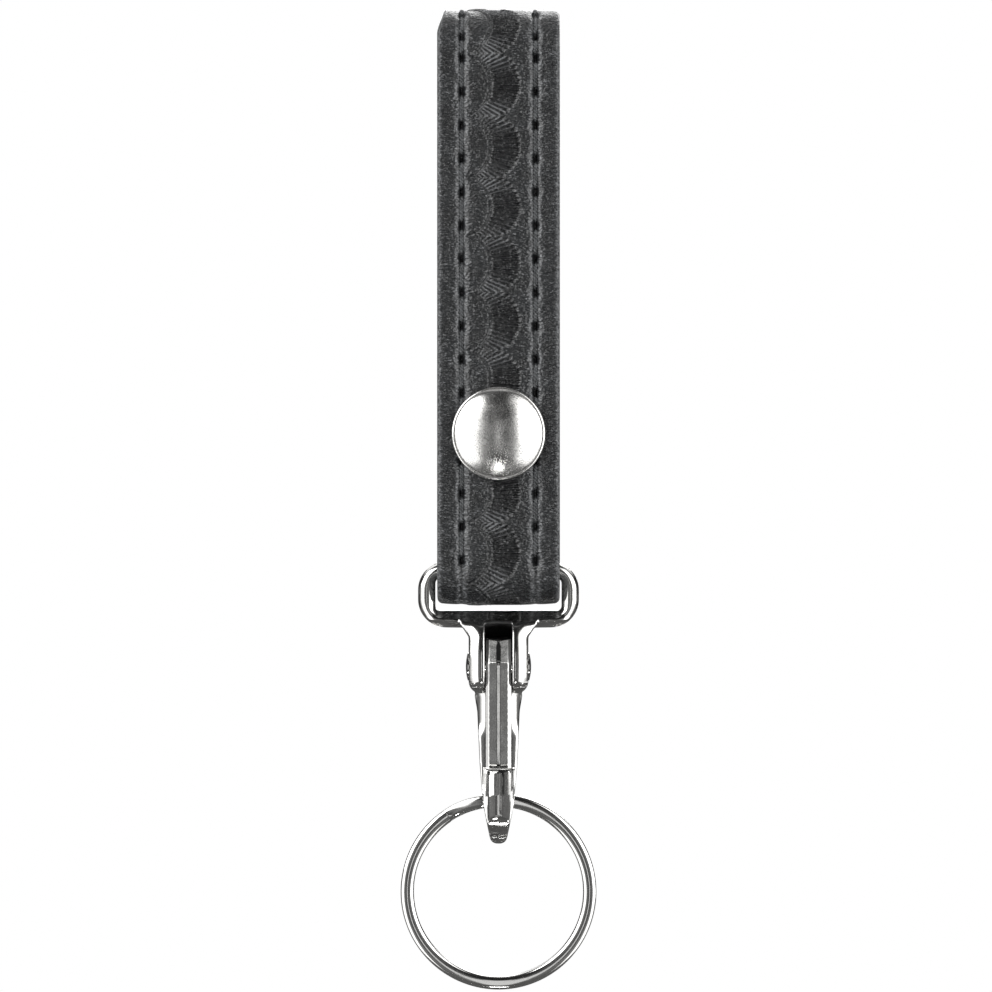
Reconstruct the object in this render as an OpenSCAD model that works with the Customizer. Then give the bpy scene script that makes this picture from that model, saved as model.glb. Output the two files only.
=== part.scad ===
// Snap key holder: a two-ply leather strap that folds over a belt and snaps shut.
// The lower fold of the strap carries a trigger snap hook on a fixed eye, with a split ring.
// Z runs up the strap, X across it, and the tooled front faces -Y.
// The origin is the inside of the crest of the belt loop, halfway through its depth.

/* [Strap] */
// Width of the strap
strap_w = 19.5; // [18.5:0.1:19.7]
// Thickness of the tooled outer ply
outer_ply = 2; // [1.6:0.1:2.2]
// Thickness of the lining ply
lining_ply = 1.6; // [1.2:0.1:1.8]
// Depth of the belt loop, front to back
loop_depth = 6.8; // [6.6:0.1:7.4]
// Height of the front panel, from the loop's crest to the middle of the lower fold
panel_h = 86.05; // [70:0.05:100]
// Height of the tail's end above the middle of the lower fold
tail_h = 28.75; // [28.5:0.05:30]
// Height of the snap's centre above the middle of the lower fold
snap_rise = 21.7; // [20:0.05:22]
// Inside radius of the lower fold
fold_r = 1.5; // [1.5:0.05:1.9]
// Bend radius of the tail above the lower fold
tail_bend_r = 12; // [10:0.5:14]
// How far the flap reaches below the snap's centre
flap_reach = 9.2; // [8:0.1:10]
// Corner radius of the flap's end
flap_corner_r = 7; // [4:0.5:9]
// Corner radius of the tail's end
tail_corner_r = 2; // [1:0.5:2.5]

/* [Stitching] */
// Distance of each stitch row from the middle of the strap
row_x = 5.87; // [5.6:0.01:6.2]
// Distance between stitch holes
stitch_pitch = 5.32; // [5:0.02:5.4]
// Diameter of a stitch hole
hole_d = 0.9; // [0.8:0.05:1]
// Width of the groove that the thread lies in
groove_w = 0.9; // [0.8:0.05:1]
// Depth of the groove
groove_depth = 0.5; // [0.45:0.05:0.6]
// Width of the waxed thread
thread_w = 0.7; // [0.6:0.05:0.75]
// Thickness of the thread in its groove
thread_t = 0.42; // [0.3:0.02:0.44]
// Distance of the lowest hole from the middle of the lower fold
first_hole_rise = 1.55; // [1:0.05:2]

/* [Snap] */
// Diameter of the cap
cap_d = 14.9; // [14:0.1:15.4]
// Height of the cap's dome above its rim
cap_dome_h = 2.4; // [2:0.1:3]
// Height of the cap's rolled rim
cap_rim_h = 0.9; // [0.8:0.05:1.2]
// Thickness of the sheet metal of the snap
snap_sheet = 0.4; // [0.3:0.05:0.45]
// Diameter of the hollow posts
post_d = 3.2; // [3:0.1:3.4]
// How far the end of a post is flared out
flare_w = 0.25; // [0.2:0.05:0.3]
// Diameter of the socket
socket_d = 12.2; // [11.6:0.1:12.6]
// Height of the socket
socket_h = 2.7; // [2.6:0.05:2.75]
// Diameter of the socket's mouth
mouth_d = 6.2; // [6.1:0.1:6.6]
// Diameter of the stud's bulge
stud_d = 5.4; // [5.2:0.1:5.6]
// Diameter of the stud's neck
stud_neck_d = 4.7; // [4.6:0.05:4.8]
// How far the stud stands off the flap
stud_h = 2.2; // [2:0.05:2.3]
// Diameter of the stud's flange
flange_d = 10.6; // [10:0.1:11.4]
// Wire diameter of the spring ring in the socket
snap_wire_d = 0.5; // [0.4:0.05:0.5]
// Diameter of the rivet head on the back
head_d = 9.4; // [8.6:0.1:10.4]
// Height of the rivet head
head_h = 0.9; // [0.7:0.05:1.1]
// Height of the straight edge of the rivet head
head_edge_h = 0.25; // [0.2:0.05:0.35]

/* [Hook] */
// Width of the eye
eye_w = 25.7; // [25.7:0.1:28]
// Height of the eye
eye_h = 10.6; // [10.6:0.1:12]
// Diameter of the eye's bars
bar_d = 2.8; // [2.6:0.05:2.85]
// Inner corner radius of the eye
eye_inner_r = 0.6; // [0.4:0.1:0.7]
// Outer corner radius of the eye
eye_corner_r = 4.6; // [3.8:0.1:4.8]
// Width of the shoulders under the eye
shoulder_w = 12.4; // [11.5:0.1:14]
// Height of the sloping shoulders
shoulder_h = 2.8; // [2.2:0.1:3.4]
// Width across the ears
ears_w = 9.5; // [9.2:0.1:10.5]
// Width of the slot between the ears
slot_w = 4.4; // [4.3:0.05:4.8]
// Distance from the eye's top bar down to the hinge pin
pin_drop = 15.35; // [15:0.05:16.5]
// How far the hinge pin lies in front of the middle of the throat
pin_forward = 0.9; // [0.6:0.05:1]
// Radius of the rounded lower end of the ears
ear_r = 3.1; // [2.9:0.1:3.3]
// Radius of the lower corners of the ears, seen from the front
ear_corner_r = 2; // [1.6:0.1:2]
// Distance from the hinge pin down to the middle of that rounded end
ear_drop = 1.2; // [0.8:0.1:1.4]
// Diameter of the hinge pin
pin_d = 2.2; // [2:0.05:2.3]
// Diameter of the pin's heads
pin_head_d = 4.4; // [4:0.1:4.6]
// Height of each pin head
pin_head_h = 0.45; // [0.4:0.05:0.6]
// Height of the straight edge of each pin head
pin_edge_h = 0.15; // [0.1:0.05:0.2]
// Thickness of the hook's spine and nose
wall_t = 3; // [2.8:0.05:3.1]
// How far the throat lies in front of the middle of the eye, which balances the hook
throat_forward = 0.75; // [0.4:0.05:1]
// Width of the throat, from the nose to the spine
throat_w = 5.5; // [5.3:0.05:5.8]
// Thickness of the hook at its lowest point
saddle_t = 5.4; // [5:0.1:6]
// Distance from the eye's top bar down to the hook's lowest point
hook_drop = 43.6; // [43.5:0.1:45]
// Height of the nose above the hook's lowest point
nose_h = 12.4; // [12.2:0.1:12.8]
// Width of the nose
nose_w = 5.1; // [4.8:0.1:5.4]
// Width of the spine just below the ears
spine_w = 7.8; // [7.4:0.1:8.4]
// Width of the spine at its waist below the ears
waist_w = 6.8; // [6.6:0.1:7.2]
// Width of the spine behind the tip of the trigger
spine_low_w = 6; // [5.6:0.1:6.4]
// Height above the hook's lowest point at which its end starts to narrow
narrowing_h = 7.3; // [6.8:0.1:8]
// Radius of the hook's lowest point, seen from the front
tip_r = 1.4; // [1.2:0.1:2]
// Radius of the crowned front of the nose
nose_crown_r = 7; // [6.8:0.1:9]

/* [Trigger] */
// Width of the trigger
trigger_w = 4.1; // [3.9:0.05:4.15]
// Height of the trigger's upper end above the hinge pin
trigger_rise = 4.4; // [4:0.1:4.6]
// Radius of the trigger's upper end
trigger_top_r = 1.4; // [1.2:0.1:1.6]
// Length of the trigger from the hinge pin to its tip
trigger_len = 17.1; // [16.8:0.05:17.2]
// Radius of the trigger round the hinge pin
hub_r = 3.2; // [3:0.05:3.3]
// Radius of the trigger's tip
trigger_tip_r = 0.8; // [0.7:0.05:0.85]
// Depth of the ridge along the front of the trigger
ridge_h = 0.8; // [0.6:0.05:1]
// Width of the chamfer along each edge of the ridge
ridge_edge_w = 0.5; // [0.4:0.05:0.6]
// Wire diameter of the trigger spring
spring_wire_d = 0.35; // [0.3:0.01:0.36]
// Outer diameter of the trigger spring
spring_d = 2.1; // [1.9:0.05:2.2]
// Turns of the trigger spring
spring_turns = 4; // [3:1:4]

/* [Split ring] */
// Outer diameter of the ring
ring_d = 31.2; // [30:0.2:32]
// Width of the flat wire, across the ring
ring_wire_w = 2.1; // [1.9:0.05:2.2]
// Thickness of each coil of the wire
coil_t = 1.15; // [1:0.05:1.2]
// Gap between the two coils
coil_gap = 0.08; // [0.06:0.01:0.12]
// Angle at which the coils cross over, counted round from the ring's right
crossover_angle = 124; // [110:2:140]
// Length of the crossover, in degrees round the ring
crossover_span = 26; // [20:2:34]

/* [Hidden] */
$fn = 72;

// Clearances that the fits share, the overrun of every cut and the lap of joined bends
running_gap = 0.05;
side_gap = 0.1;
seat_gap = 0.06;
cut = 1;
lap_angle = 0.25;

// Fineness of the shallow domes and of the swept wires
dome_sides = 360;
wire_sides = 8;
spring_steps = 14;
ring_steps = 72;

// Strap, seen from the side in Y and Z
strap_t = outer_ply + lining_ply;
half_t = strap_t / 2;
ply_line = half_t - outer_ply;
loop_r = loop_depth / 2;
crest_mid = [0, -loop_r];
crest_r = loop_r + half_t;
panel_y = -loop_r - half_t;
front_y = -loop_r - strap_t;
flap_y = loop_r + half_t;
back_y = loop_r + strap_t;
fold_mid = [fold_r - loop_r, -panel_h];
fold_mid_r = fold_r + half_t;
tail_low_y = fold_mid[0] + fold_mid_r;
tail_y = half_t - loop_r;
tail_back_y = tail_y + half_t;
bend_angle = acos(1 - (tail_low_y - tail_y) / (2 * tail_bend_r));
bend_low_mid = [tail_low_y - tail_bend_r, fold_mid[1]];
bend_top_mid = [tail_y + tail_bend_r, fold_mid[1] + 2 * tail_bend_r * sin(bend_angle)];
tail_end_z = fold_mid[1] + tail_h;
snap_z = fold_mid[1] + snap_rise;
flap_end_z = snap_z - flap_reach;

// Stitch holes: angles on the crest and the lower fold, heights on the straight stretches,
// with the flap's rows ending where its round corners begin to cut into them
flap_corner_x = max(row_x + groove_w - strap_w / 2 + flap_corner_r, 0);
row_end_z = flap_end_z + flap_corner_r - sqrt(pow(flap_corner_r, 2) - pow(flap_corner_x, 2));
crest_hole_angles = [20, 62];
fold_hole_angles = [40];
front_hole_z = [for (z = [first_hole_rise - panel_h : stitch_pitch : crest_mid[1]]) z];
tail_hole_z = [for (z = [bend_top_mid[1] + stitch_pitch / 2 : stitch_pitch : tail_end_z - hole_d]) z];
flap_hole_z = [for (z = [crest_mid[1] - stitch_pitch / 4 : -stitch_pitch : row_end_z + hole_d]) z];
leg_r = thread_t * 2 / 3;

// Snap, revolved about Y at its own height
cap_r = cap_d / 2;
rim_r = cap_rim_h / 2;
rim_y = front_y - cap_rim_h;
dome_r = (pow(cap_r, 2) + pow(cap_dome_h, 2)) / (2 * cap_dome_h);
dome_y = rim_y - cap_dome_h + dome_r;
post_r = post_d / 2;
post_hole_r = post_r + running_gap;
flare_r = post_r + flare_w;
socket_r = socket_d / 2;
socket_y = tail_back_y + socket_h;
mouth_r = mouth_d / 2;
stud_neck_r = stud_neck_d / 2;
stud_r = stud_d / 2;
stud_y = loop_r - stud_h;
stud_lead = stud_r - stud_neck_r;
snap_wire_r = snap_wire_d / 2;
snap_spring_r = stud_neck_r + side_gap + snap_wire_r;
snap_spring_y = socket_y - snap_wire_d - snap_wire_r - running_gap;
head_r = head_d / 2;
head_dome_h = head_h - head_edge_h;
head_ball_r = (pow(head_r, 2) + pow(head_dome_h, 2)) / (2 * head_dome_h);

// Eye of the hook, whose top bar rests in the lower fold
bar_r = bar_d / 2;
hook_y = fold_mid[0];
bar_z = fold_mid[1] - fold_r + bar_r + seat_gap;
eye_bend_r = eye_inner_r + bar_r;
eye_half_w = eye_w / 2 - bar_r;
eye_half_h = eye_h / 2 - bar_r;
eye_z = bar_z - eye_half_h;
low_bar_z = eye_z - eye_half_h;

// Hook, seen from the side
throat_y = hook_y - throat_forward;
pin_mid = [throat_y - pin_forward, bar_z - pin_drop];
pin_r = pin_d / 2;
ear_mid = pin_mid - [0, ear_drop];
throat_r = throat_w / 2;
hook_r = throat_r + wall_t;
hook_end_z = bar_z - hook_drop;
bend_z = hook_end_z + hook_r;
saddle_z = hook_end_z + saddle_t;
nose_z = hook_end_z + nose_h;
spine_front_y = throat_y + throat_r;
spine_mid_y = spine_front_y + wall_t / 2;
nose_back_y = throat_y - throat_r;
slot_top_z = low_bar_z - bar_r / 2;
ear_end_z = ear_mid[1] - ear_r;
waist_z = ear_end_z - wall_t;

// Trigger, seen from the side
top_mid = [pin_mid[0] - trigger_top_r / 4, pin_mid[1] + trigger_rise - trigger_top_r];
tip_mid = [nose_back_y + trigger_tip_r + side_gap, pin_mid[1] - trigger_len + trigger_tip_r];
spring_coil_r = (spring_d - spring_wire_d) / 2;
spring_z = pin_mid[1] - hub_r - spring_wire_d;
pocket_r = spring_d / 2 + side_gap;
spring_back_y = spine_front_y + wall_t / 2;
spring_front_y = pin_mid[0] + hub_r / 2;
crest_trim = ridge_h / 12;
spring_pitch = (spring_back_y - spring_front_y - spring_wire_d - seat_gap) / spring_turns;

// Split ring, hanging in the throat
ring_r = ring_d / 2;
ring_in_r = ring_r - ring_wire_w;
ring_mid_r = ring_r - ring_wire_w / 2;
ring_half_t = coil_t + coil_gap / 2;
ring_edge = coil_t / 4;
swing_r = max(norm([ring_wire_w / 2, ring_half_t - ring_edge]),
    norm([ring_wire_w / 2 - ring_edge, ring_half_t])) + side_gap;
ring_z = saddle_z + swing_r - ring_mid_r;

echo(trigger_spring_least_gap = spring_pitch - spring_wire_d);

// A band of a circle between two radii and two angles
module arc_band(centre, r1, r2, a1, a2) {
    reach = 2 * r2;
    step = (a2 - a1) / 6;
    translate(centre) intersection() {
        difference() {
            circle(r2);
            circle(r1);
        }
        polygon([[0, 0], for (k = [0 : 6]) reach * [cos(a1 + step * k), sin(a1 + step * k)]]);
    }
}

// An upright band between two depths and two heights
module straight_band(y1, y2, z1, z2) {
    translate([y1, z1]) square([y2 - y1, z2 - z1]);
}

// Side view of the front, the lower fold and the tail, between two distances outwards
// from the middle of the strap's thickness
module front_band(a, b) {
    arc_band(crest_mid, crest_r + a, crest_r + b, 90, 180);
    straight_band(panel_y - b, panel_y - a, fold_mid[1], crest_mid[1]);
    arc_band(fold_mid, fold_mid_r + a, fold_mid_r + b, 180, 360);
    arc_band(bend_low_mid, tail_bend_r + a, tail_bend_r + b, 0, bend_angle + lap_angle);
    arc_band(bend_top_mid, tail_bend_r - b, tail_bend_r - a, 180, 180 + bend_angle);
    straight_band(tail_y + a, tail_y + b, bend_top_mid[1], tail_end_z);
}

// Side view of the flap: the back half of the crest and the straight panel below it
module flap_band(a, b) {
    arc_band(crest_mid, crest_r + a, crest_r + b, 0, 90);
    straight_band(flap_y + a, flap_y + b, flap_end_z, crest_mid[1]);
}

// Two circles and their common tangents
module taper(p, rp, q, rq) {
    base = atan2(q[1] - p[1], q[0] - p[0]);
    off = acos((rp - rq) / norm(q - p));
    translate(p) circle(rp);
    translate(q) circle(rq);
    polygon([
        p + rp * [cos(base + off), sin(base + off)],
        p + rp * [cos(base - off), sin(base - off)],
        q + rq * [cos(base - off), sin(base - off)],
        q + rq * [cos(base + off), sin(base + off)]
    ]);
}

// Draws a side view, in Y and Z, as a solid across the middle of the strap
module across(w) {
    rotate([90, 0, 90]) linear_extrude(w, center = true) children();
}

// Draws a front view, in X and Z, as a solid between two depths
module front_to_back(y1, y2) {
    translate([0, y2, 0]) rotate([90, 0, 0]) linear_extrude(y2 - y1) children();
}

// A round hole or thread along Y at one height
module leg(x, z, r, y1, y2) {
    translate([x, y1, z]) rotate([-90, 0, 0]) cylinder(h = y2 - y1, r = r);
}

// A round hole or thread through a fold, square to it at one angle
module fold_leg(x, centre, angle, r, r1, r2) {
    translate([x, centre[0], centre[1]]) rotate([angle, 0, 0]) leg(0, 0, r, r1, r2);
}

// All the stitch holes of one row in the front, or the legs of its thread
module front_legs(x, r, reach) {
    for (a = crest_hole_angles)
        fold_leg(x, crest_mid, 180 - a, r, crest_r - reach, crest_r + reach);
    for (z = front_hole_z) leg(x, z, r, panel_y - reach, panel_y + reach);
    for (a = fold_hole_angles)
        fold_leg(x, fold_mid, -a, r, fold_mid_r - reach, fold_mid_r + reach);
    for (z = tail_hole_z) leg(x, z, r, tail_y - reach, tail_y + reach);
}

// The same in the flap
module flap_legs(x, r, reach) {
    for (a = crest_hole_angles)
        fold_leg(x, crest_mid, a, r, crest_r - reach, crest_r + reach);
    for (z = flap_hole_z) leg(x, z, r, flap_y - reach, flap_y + reach);
}

// What rounds off the two corners at the end of a strip
module end_corners(end_z, up, r, y1, y2) {
    front_to_back(y1, y2)
        for (side = [-1, 1])
            translate([side * (strap_w / 2 - r), end_z - up * r]) difference() {
                translate([min(side, 0) * (r + cut), min(up, 0) * (r + cut)]) square(r + cut);
                circle(r);
            }
}

// Everything that is cut out of the front leather and its lining
module front_cuts() {
    end_corners(tail_end_z, 1, tail_corner_r, tail_y - half_t - side_gap, tail_back_y + cut);
    for (side = [-1, 1]) {
        front_legs(side * row_x, hole_d / 2, half_t + side_gap);
        translate([side * row_x, 0, 0]) across(groove_w) {
            front_band(half_t - groove_depth, half_t + side_gap);
            front_band(-half_t, groove_depth - half_t);
        }
    }
    leg(0, snap_z, post_hole_r, front_y - cut, tail_back_y + cut);
}

// Front panel, lower fold and tail of the tooled outer ply
module front_leather() {
    color([0.25, 0.27, 0.29]) difference() {
        across(strap_w) front_band(ply_line, half_t);
        front_cuts();
    }
}

// Lining of the front panel, the lower fold and the tail
module front_lining() {
    color([0.12, 0.12, 0.13]) difference() {
        across(strap_w) front_band(-half_t, ply_line);
        front_cuts();
    }
}

// Everything that is cut out of the flap and its lining
module flap_cuts() {
    end_corners(flap_end_z, -1, flap_corner_r, loop_r - cut, back_y + cut);
    for (side = [-1, 1]) {
        flap_legs(side * row_x, hole_d / 2, half_t + side_gap);
        translate([side * row_x, 0, 0]) across(groove_w) {
            flap_band(half_t - groove_depth, half_t + side_gap);
            flap_band(-half_t - side_gap, groove_depth - half_t);
        }
    }
    leg(0, snap_z, post_hole_r, loop_r - cut, back_y + cut);
}

// Outer ply of the flap, which goes over the crest and down the back
module flap_leather() {
    color([0.25, 0.27, 0.29]) difference() {
        across(strap_w) flap_band(ply_line, half_t);
        flap_cuts();
    }
}

// Lining of the flap
module flap_lining() {
    color([0.12, 0.12, 0.13]) difference() {
        across(strap_w) flap_band(-half_t, ply_line);
        flap_cuts();
    }
}

// One row of lockstitch in the front: a thread in each groove and a leg at each hole
module front_thread(x) {
    bed = half_t - groove_depth;
    color([0.3, 0.31, 0.33]) {
        translate([x, 0, 0]) across(thread_w) {
            front_band(bed, bed + thread_t);
            front_band(-bed - thread_t, -bed);
        }
        front_legs(x, leg_r, bed + thread_t / 2);
    }
}

// One row of lockstitch in the flap
module flap_thread(x) {
    bed = half_t - groove_depth;
    color([0.3, 0.31, 0.33]) {
        translate([x, 0, 0]) across(thread_w) intersection() {
            union() {
                flap_band(bed, bed + thread_t);
                flap_band(-bed - thread_t, -bed);
            }
            straight_band(0, back_y, row_end_z, back_y);
        }
        flap_legs(x, leg_r, bed + thread_t / 2);
    }
}

module left_stitching() {
    front_thread(-row_x);
}

module right_stitching() {
    front_thread(row_x);
}

module flap_left_stitching() {
    flap_thread(-row_x);
}

module flap_right_stitching() {
    flap_thread(row_x);
}

// A turned or pressed piece of the snap: its outline holds radius and depth
module snap_turned() {
    translate([0, 0, snap_z]) rotate([-90, 0, 0]) rotate_extrude() children();
}

// Domed cap with a rolled rim
module snap_cap() {
    color([0.62, 0.62, 0.63]) snap_turned() {
        difference() {
            intersection() {
                translate([0, dome_y]) circle(dome_r, $fn = dome_sides);
                translate([0, rim_y - cap_dome_h]) square([cap_r, cap_dome_h + rim_r]);
            }
            translate([0, dome_y]) circle(dome_r - snap_sheet, $fn = dome_sides);
        }
        translate([cap_r - rim_r, front_y - rim_r]) circle(rim_r);
    }
}

// Flanged hollow post that holds the cap and the socket to the front and the tail
module cap_post() {
    flange_r = cap_r - cap_rim_h - running_gap;
    end_y = tail_back_y + 2 * snap_sheet;
    color([0.5, 0.5, 0.5]) snap_turned() polygon([
        [post_r - snap_sheet, front_y - snap_sheet],
        [flange_r, front_y - snap_sheet],
        [flange_r, front_y],
        [post_r, front_y],
        [post_r, end_y - snap_sheet],
        [flare_r, end_y - snap_sheet / 2],
        [flare_r, end_y],
        [post_r - snap_sheet, end_y - snap_sheet / 2]
    ]);
}

// Socket on the back of the tail, with a curled wall and a lip round its mouth
module snap_socket() {
    edge = 2 * snap_sheet;
    color([0.58, 0.56, 0.52]) snap_turned() {
        translate([post_hole_r, tail_back_y]) square([socket_r - post_hole_r, snap_sheet]);
        translate([socket_r - snap_sheet, tail_back_y])
            square([snap_sheet, socket_h - edge]);
        difference() {
            translate([socket_r - edge, socket_y - edge]) circle(edge);
            translate([socket_r - edge, socket_y - edge]) circle(edge - snap_sheet);
            translate([socket_r - 2 * edge, socket_y - 2 * edge]) square([edge, 2 * edge]);
            translate([socket_r - edge, socket_y - 2 * edge]) square(edge);
        }
        translate([mouth_r, socket_y - snap_sheet])
            square([socket_r - edge - mouth_r, snap_sheet]);
        translate([mouth_r, socket_y - snap_wire_d]) square([snap_sheet, snap_wire_d]);
    }
}

// Split spring ring that grips the stud's neck
module socket_spring() {
    color([0.7, 0.68, 0.6]) translate([0, snap_spring_y, snap_z]) rotate([-90, 0, 0])
        rotate([0, 0, 12]) rotate_extrude(angle = 336) translate([snap_spring_r, 0])
            circle(snap_wire_r);
}

// Hollow stud with a necked wall, which enters the socket
module snap_stud() {
    wall_in_r = stud_neck_r - snap_sheet;
    color([0.58, 0.56, 0.52]) snap_turned() polygon([
        [post_hole_r, loop_r],
        [flange_d / 2, loop_r],
        [flange_d / 2, loop_r - snap_sheet],
        [stud_neck_r, loop_r - snap_sheet],
        [stud_neck_r, stud_y + 2 * stud_lead],
        [stud_r, stud_y + stud_lead],
        [stud_neck_r, stud_y],
        [wall_in_r, stud_y],
        [wall_in_r, loop_r - snap_sheet],
        [post_hole_r, loop_r - snap_sheet]
    ]);
}

// Domed rivet through the flap, flared inside the stud
module stud_rivet() {
    end_y = loop_r - 2 * snap_sheet;
    color([0.62, 0.62, 0.63]) {
        snap_turned() {
            translate([0, back_y]) square([head_r, head_edge_h]);
            intersection() {
                translate([0, back_y + head_h - head_ball_r]) circle(head_ball_r, $fn = dome_sides);
                translate([0, back_y + head_edge_h]) square([head_r, head_dome_h]);
            }
        }
        snap_turned() polygon([
            [0, back_y + head_edge_h],
            [post_r, back_y + head_edge_h],
            [post_r, end_y + snap_sheet],
            [flare_r, end_y + snap_sheet / 2],
            [flare_r, end_y],
            [post_r - snap_sheet, end_y + snap_sheet / 2],
            [post_r - snap_sheet, back_y - snap_sheet],
            [0, back_y - snap_sheet]
        ]);
    }
}

// A rectangle with round corners, about its own middle
module round_rect(w, h, r) {
    square([w - 2 * r, h], center = true);
    square([w, h - 2 * r], center = true);
    for (sx = [-1, 1], sz = [-1, 1]) translate([sx * (w / 2 - r), sz * (h / 2 - r)]) circle(r);
}

// The eye, a closed loop of round bar with tight inner corners
module eye() {
    bar_half = eye_half_w - eye_bend_r;
    side_half = eye_half_h - eye_bend_r;
    intersection() {
        translate([0, hook_y, eye_z]) {
            for (sz = [-1, 1]) translate([0, 0, sz * eye_half_h]) rotate([0, 90, 0])
                cylinder(h = 2 * bar_half, r = bar_r, center = true);
            for (sx = [-1, 1]) translate([sx * eye_half_w, 0, 0])
                cylinder(h = 2 * side_half, r = bar_r, center = true);
            for (quarter = [0 : 3]) {
                sx = quarter == 0 || quarter == 3 ? 1 : -1;
                sz = quarter < 2 ? 1 : -1;
                translate([sx * bar_half, 0, sz * side_half]) rotate([90, 0, 0])
                    rotate([0, 0, 90 * quarter]) rotate_extrude(angle = 90)
                        translate([eye_bend_r, 0]) circle(bar_r);
            }
        }
        front_to_back(hook_y - bar_d, hook_y + bar_d)
            translate([0, eye_z]) round_rect(eye_w, eye_h, eye_corner_r);
    }
}

// Front view of the shoulders and the ears
module ears_front() {
    polygon([
        [-shoulder_w / 2, low_bar_z], [shoulder_w / 2, low_bar_z],
        [shoulder_w / 2, low_bar_z - bar_r / 2],
        [ears_w / 2, low_bar_z - shoulder_h], [ears_w / 2, pin_mid[1]],
        [-ears_w / 2, pin_mid[1]], [-ears_w / 2, low_bar_z - shoulder_h],
        [-shoulder_w / 2, low_bar_z - bar_r / 2]
    ]);
    translate([0, pin_mid[1]])
        round_rect(ears_w, 2 * (pin_mid[1] - ear_end_z + side_gap), ear_corner_r);
}

// Side view of the ears, which swell from the eye's lower bar to the hinge pin
module ears_side() {
    taper([hook_y, low_bar_z], bar_r, ear_mid, ear_r);
    taper([hook_y, low_bar_z], bar_r, [spine_mid_y, ear_mid[1]], wall_t / 2);
}

// Front view of the spine and the end of the hook
module hook_front() {
    polygon([
        [-spine_w / 2, low_bar_z - shoulder_h], [spine_w / 2, low_bar_z - shoulder_h],
        [spine_w / 2, ear_end_z], [waist_w / 2, waist_z], [spine_low_w / 2, nose_z],
        [nose_w / 2, hook_end_z + narrowing_h], [-nose_w / 2, hook_end_z + narrowing_h],
        [-spine_low_w / 2, nose_z], [-waist_w / 2, waist_z], [-spine_w / 2, ear_end_z]
    ]);
    taper([0, hook_end_z + narrowing_h], nose_w / 2, [0, hook_end_z + tip_r - side_gap / 2], tip_r);
}

// Side view of the bend under the throat and the nose in front of it
module nose_side() {
    translate([throat_y, bend_z]) circle(hook_r);
    straight_band(throat_y - hook_r, throat_y + hook_r, bend_z, bend_z + saddle_t - wall_t);
    straight_band(throat_y - hook_r, nose_back_y, bend_z, nose_z - wall_t / 2);
    translate([nose_back_y - wall_t / 2, nose_z - wall_t / 2]) circle(wall_t / 2);
}

// The throat, with a round bed in the saddle that follows the inside of the ring
module throat() {
    bed_z = saddle_z + throat_r;
    across(spine_w + cut) straight_band(nose_back_y, spine_front_y, bed_z, slot_top_z);
    translate([0, throat_y, ring_z]) rotate([90, 0, 0]) rotate_extrude()
        translate([bed_z - ring_z, 0]) circle(throat_r);
}

// Cast body of the hook: eye, shoulders, ears, spine, bend and nose in one
module hook_body() {
    color([0.66, 0.66, 0.67]) difference() {
        union() {
            eye();
            intersection() {
                across(shoulder_w) ears_side();
                front_to_back(throat_y - 2 * hook_r, throat_y + 2 * hook_r) ears_front();
            }
            intersection() {
                union() {
                    across(spine_w)
                        straight_band(spine_front_y, spine_front_y + wall_t, bend_z, ear_mid[1]);
                    intersection() {
                        across(nose_w) nose_side();
                        translate([0, throat_y - hook_r + nose_crown_r + side_gap, hook_end_z - cut])
                            cylinder(h = nose_h + 2 * cut, r = nose_crown_r);
                    }
                }
                front_to_back(throat_y - 2 * hook_r, throat_y + 2 * hook_r) hook_front();
            }
        }
        translate([-slot_w / 2, throat_y - 2 * hook_r, nose_z])
            cube([slot_w, 2 * hook_r + throat_r, slot_top_z - nose_z]);
        translate([0, pin_mid[0], pin_mid[1]]) rotate([0, 90, 0])
            cylinder(h = ears_w + cut, r = pin_r, center = true);
        leg(0, spring_z, pocket_r, spine_front_y - cut, spring_back_y);
        throat();
    }
}

// Hinge pin with two domed heads
module hinge_pin() {
    head = pin_head_d / 2;
    dome_h = pin_head_h - pin_edge_h;
    ball_r = (pow(head, 2) + pow(dome_h, 2)) / (2 * dome_h);
    color([0.5, 0.5, 0.5]) translate([0, pin_mid[0], pin_mid[1]]) {
        rotate([0, 90, 0]) cylinder(h = ears_w, r = pin_r, center = true);
        for (side = [-1, 1]) rotate([0, 90 * side, 0]) translate([0, 0, ears_w / 2])
            rotate_extrude() {
                square([head, pin_edge_h]);
                intersection() {
                    translate([0, pin_head_h - ball_r]) circle(ball_r, $fn = dome_sides);
                    translate([0, pin_edge_h]) square([head, dome_h]);
                }
            }
    }
}

// What is cut from the front of the trigger to leave a ridge between two of its rounds
module ridge_cut(p, rp, q, rq, side) {
    base = atan2(q[1] - p[1], q[0] - p[0]);
    facing = base + side * acos((rp - rq) / norm(q - p));
    edge_x = trigger_w / 2 - ridge_edge_w;
    out_x = trigger_w / 2 + cut;
    translate([0, p[0] + rp * cos(facing), p[1] + rp * sin(facing)]) rotate([facing, 0, 0])
        linear_extrude(3 * norm(q - p), center = true) polygon([
            [-out_x, cut], [-out_x, -ridge_h], [-trigger_w / 2, -ridge_h],
            [-edge_x, -ridge_h / 2], [0, -crest_trim], [edge_x, -ridge_h / 2],
            [trigger_w / 2, -ridge_h], [out_x, -ridge_h], [out_x, cut]
        ]);
}

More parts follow.
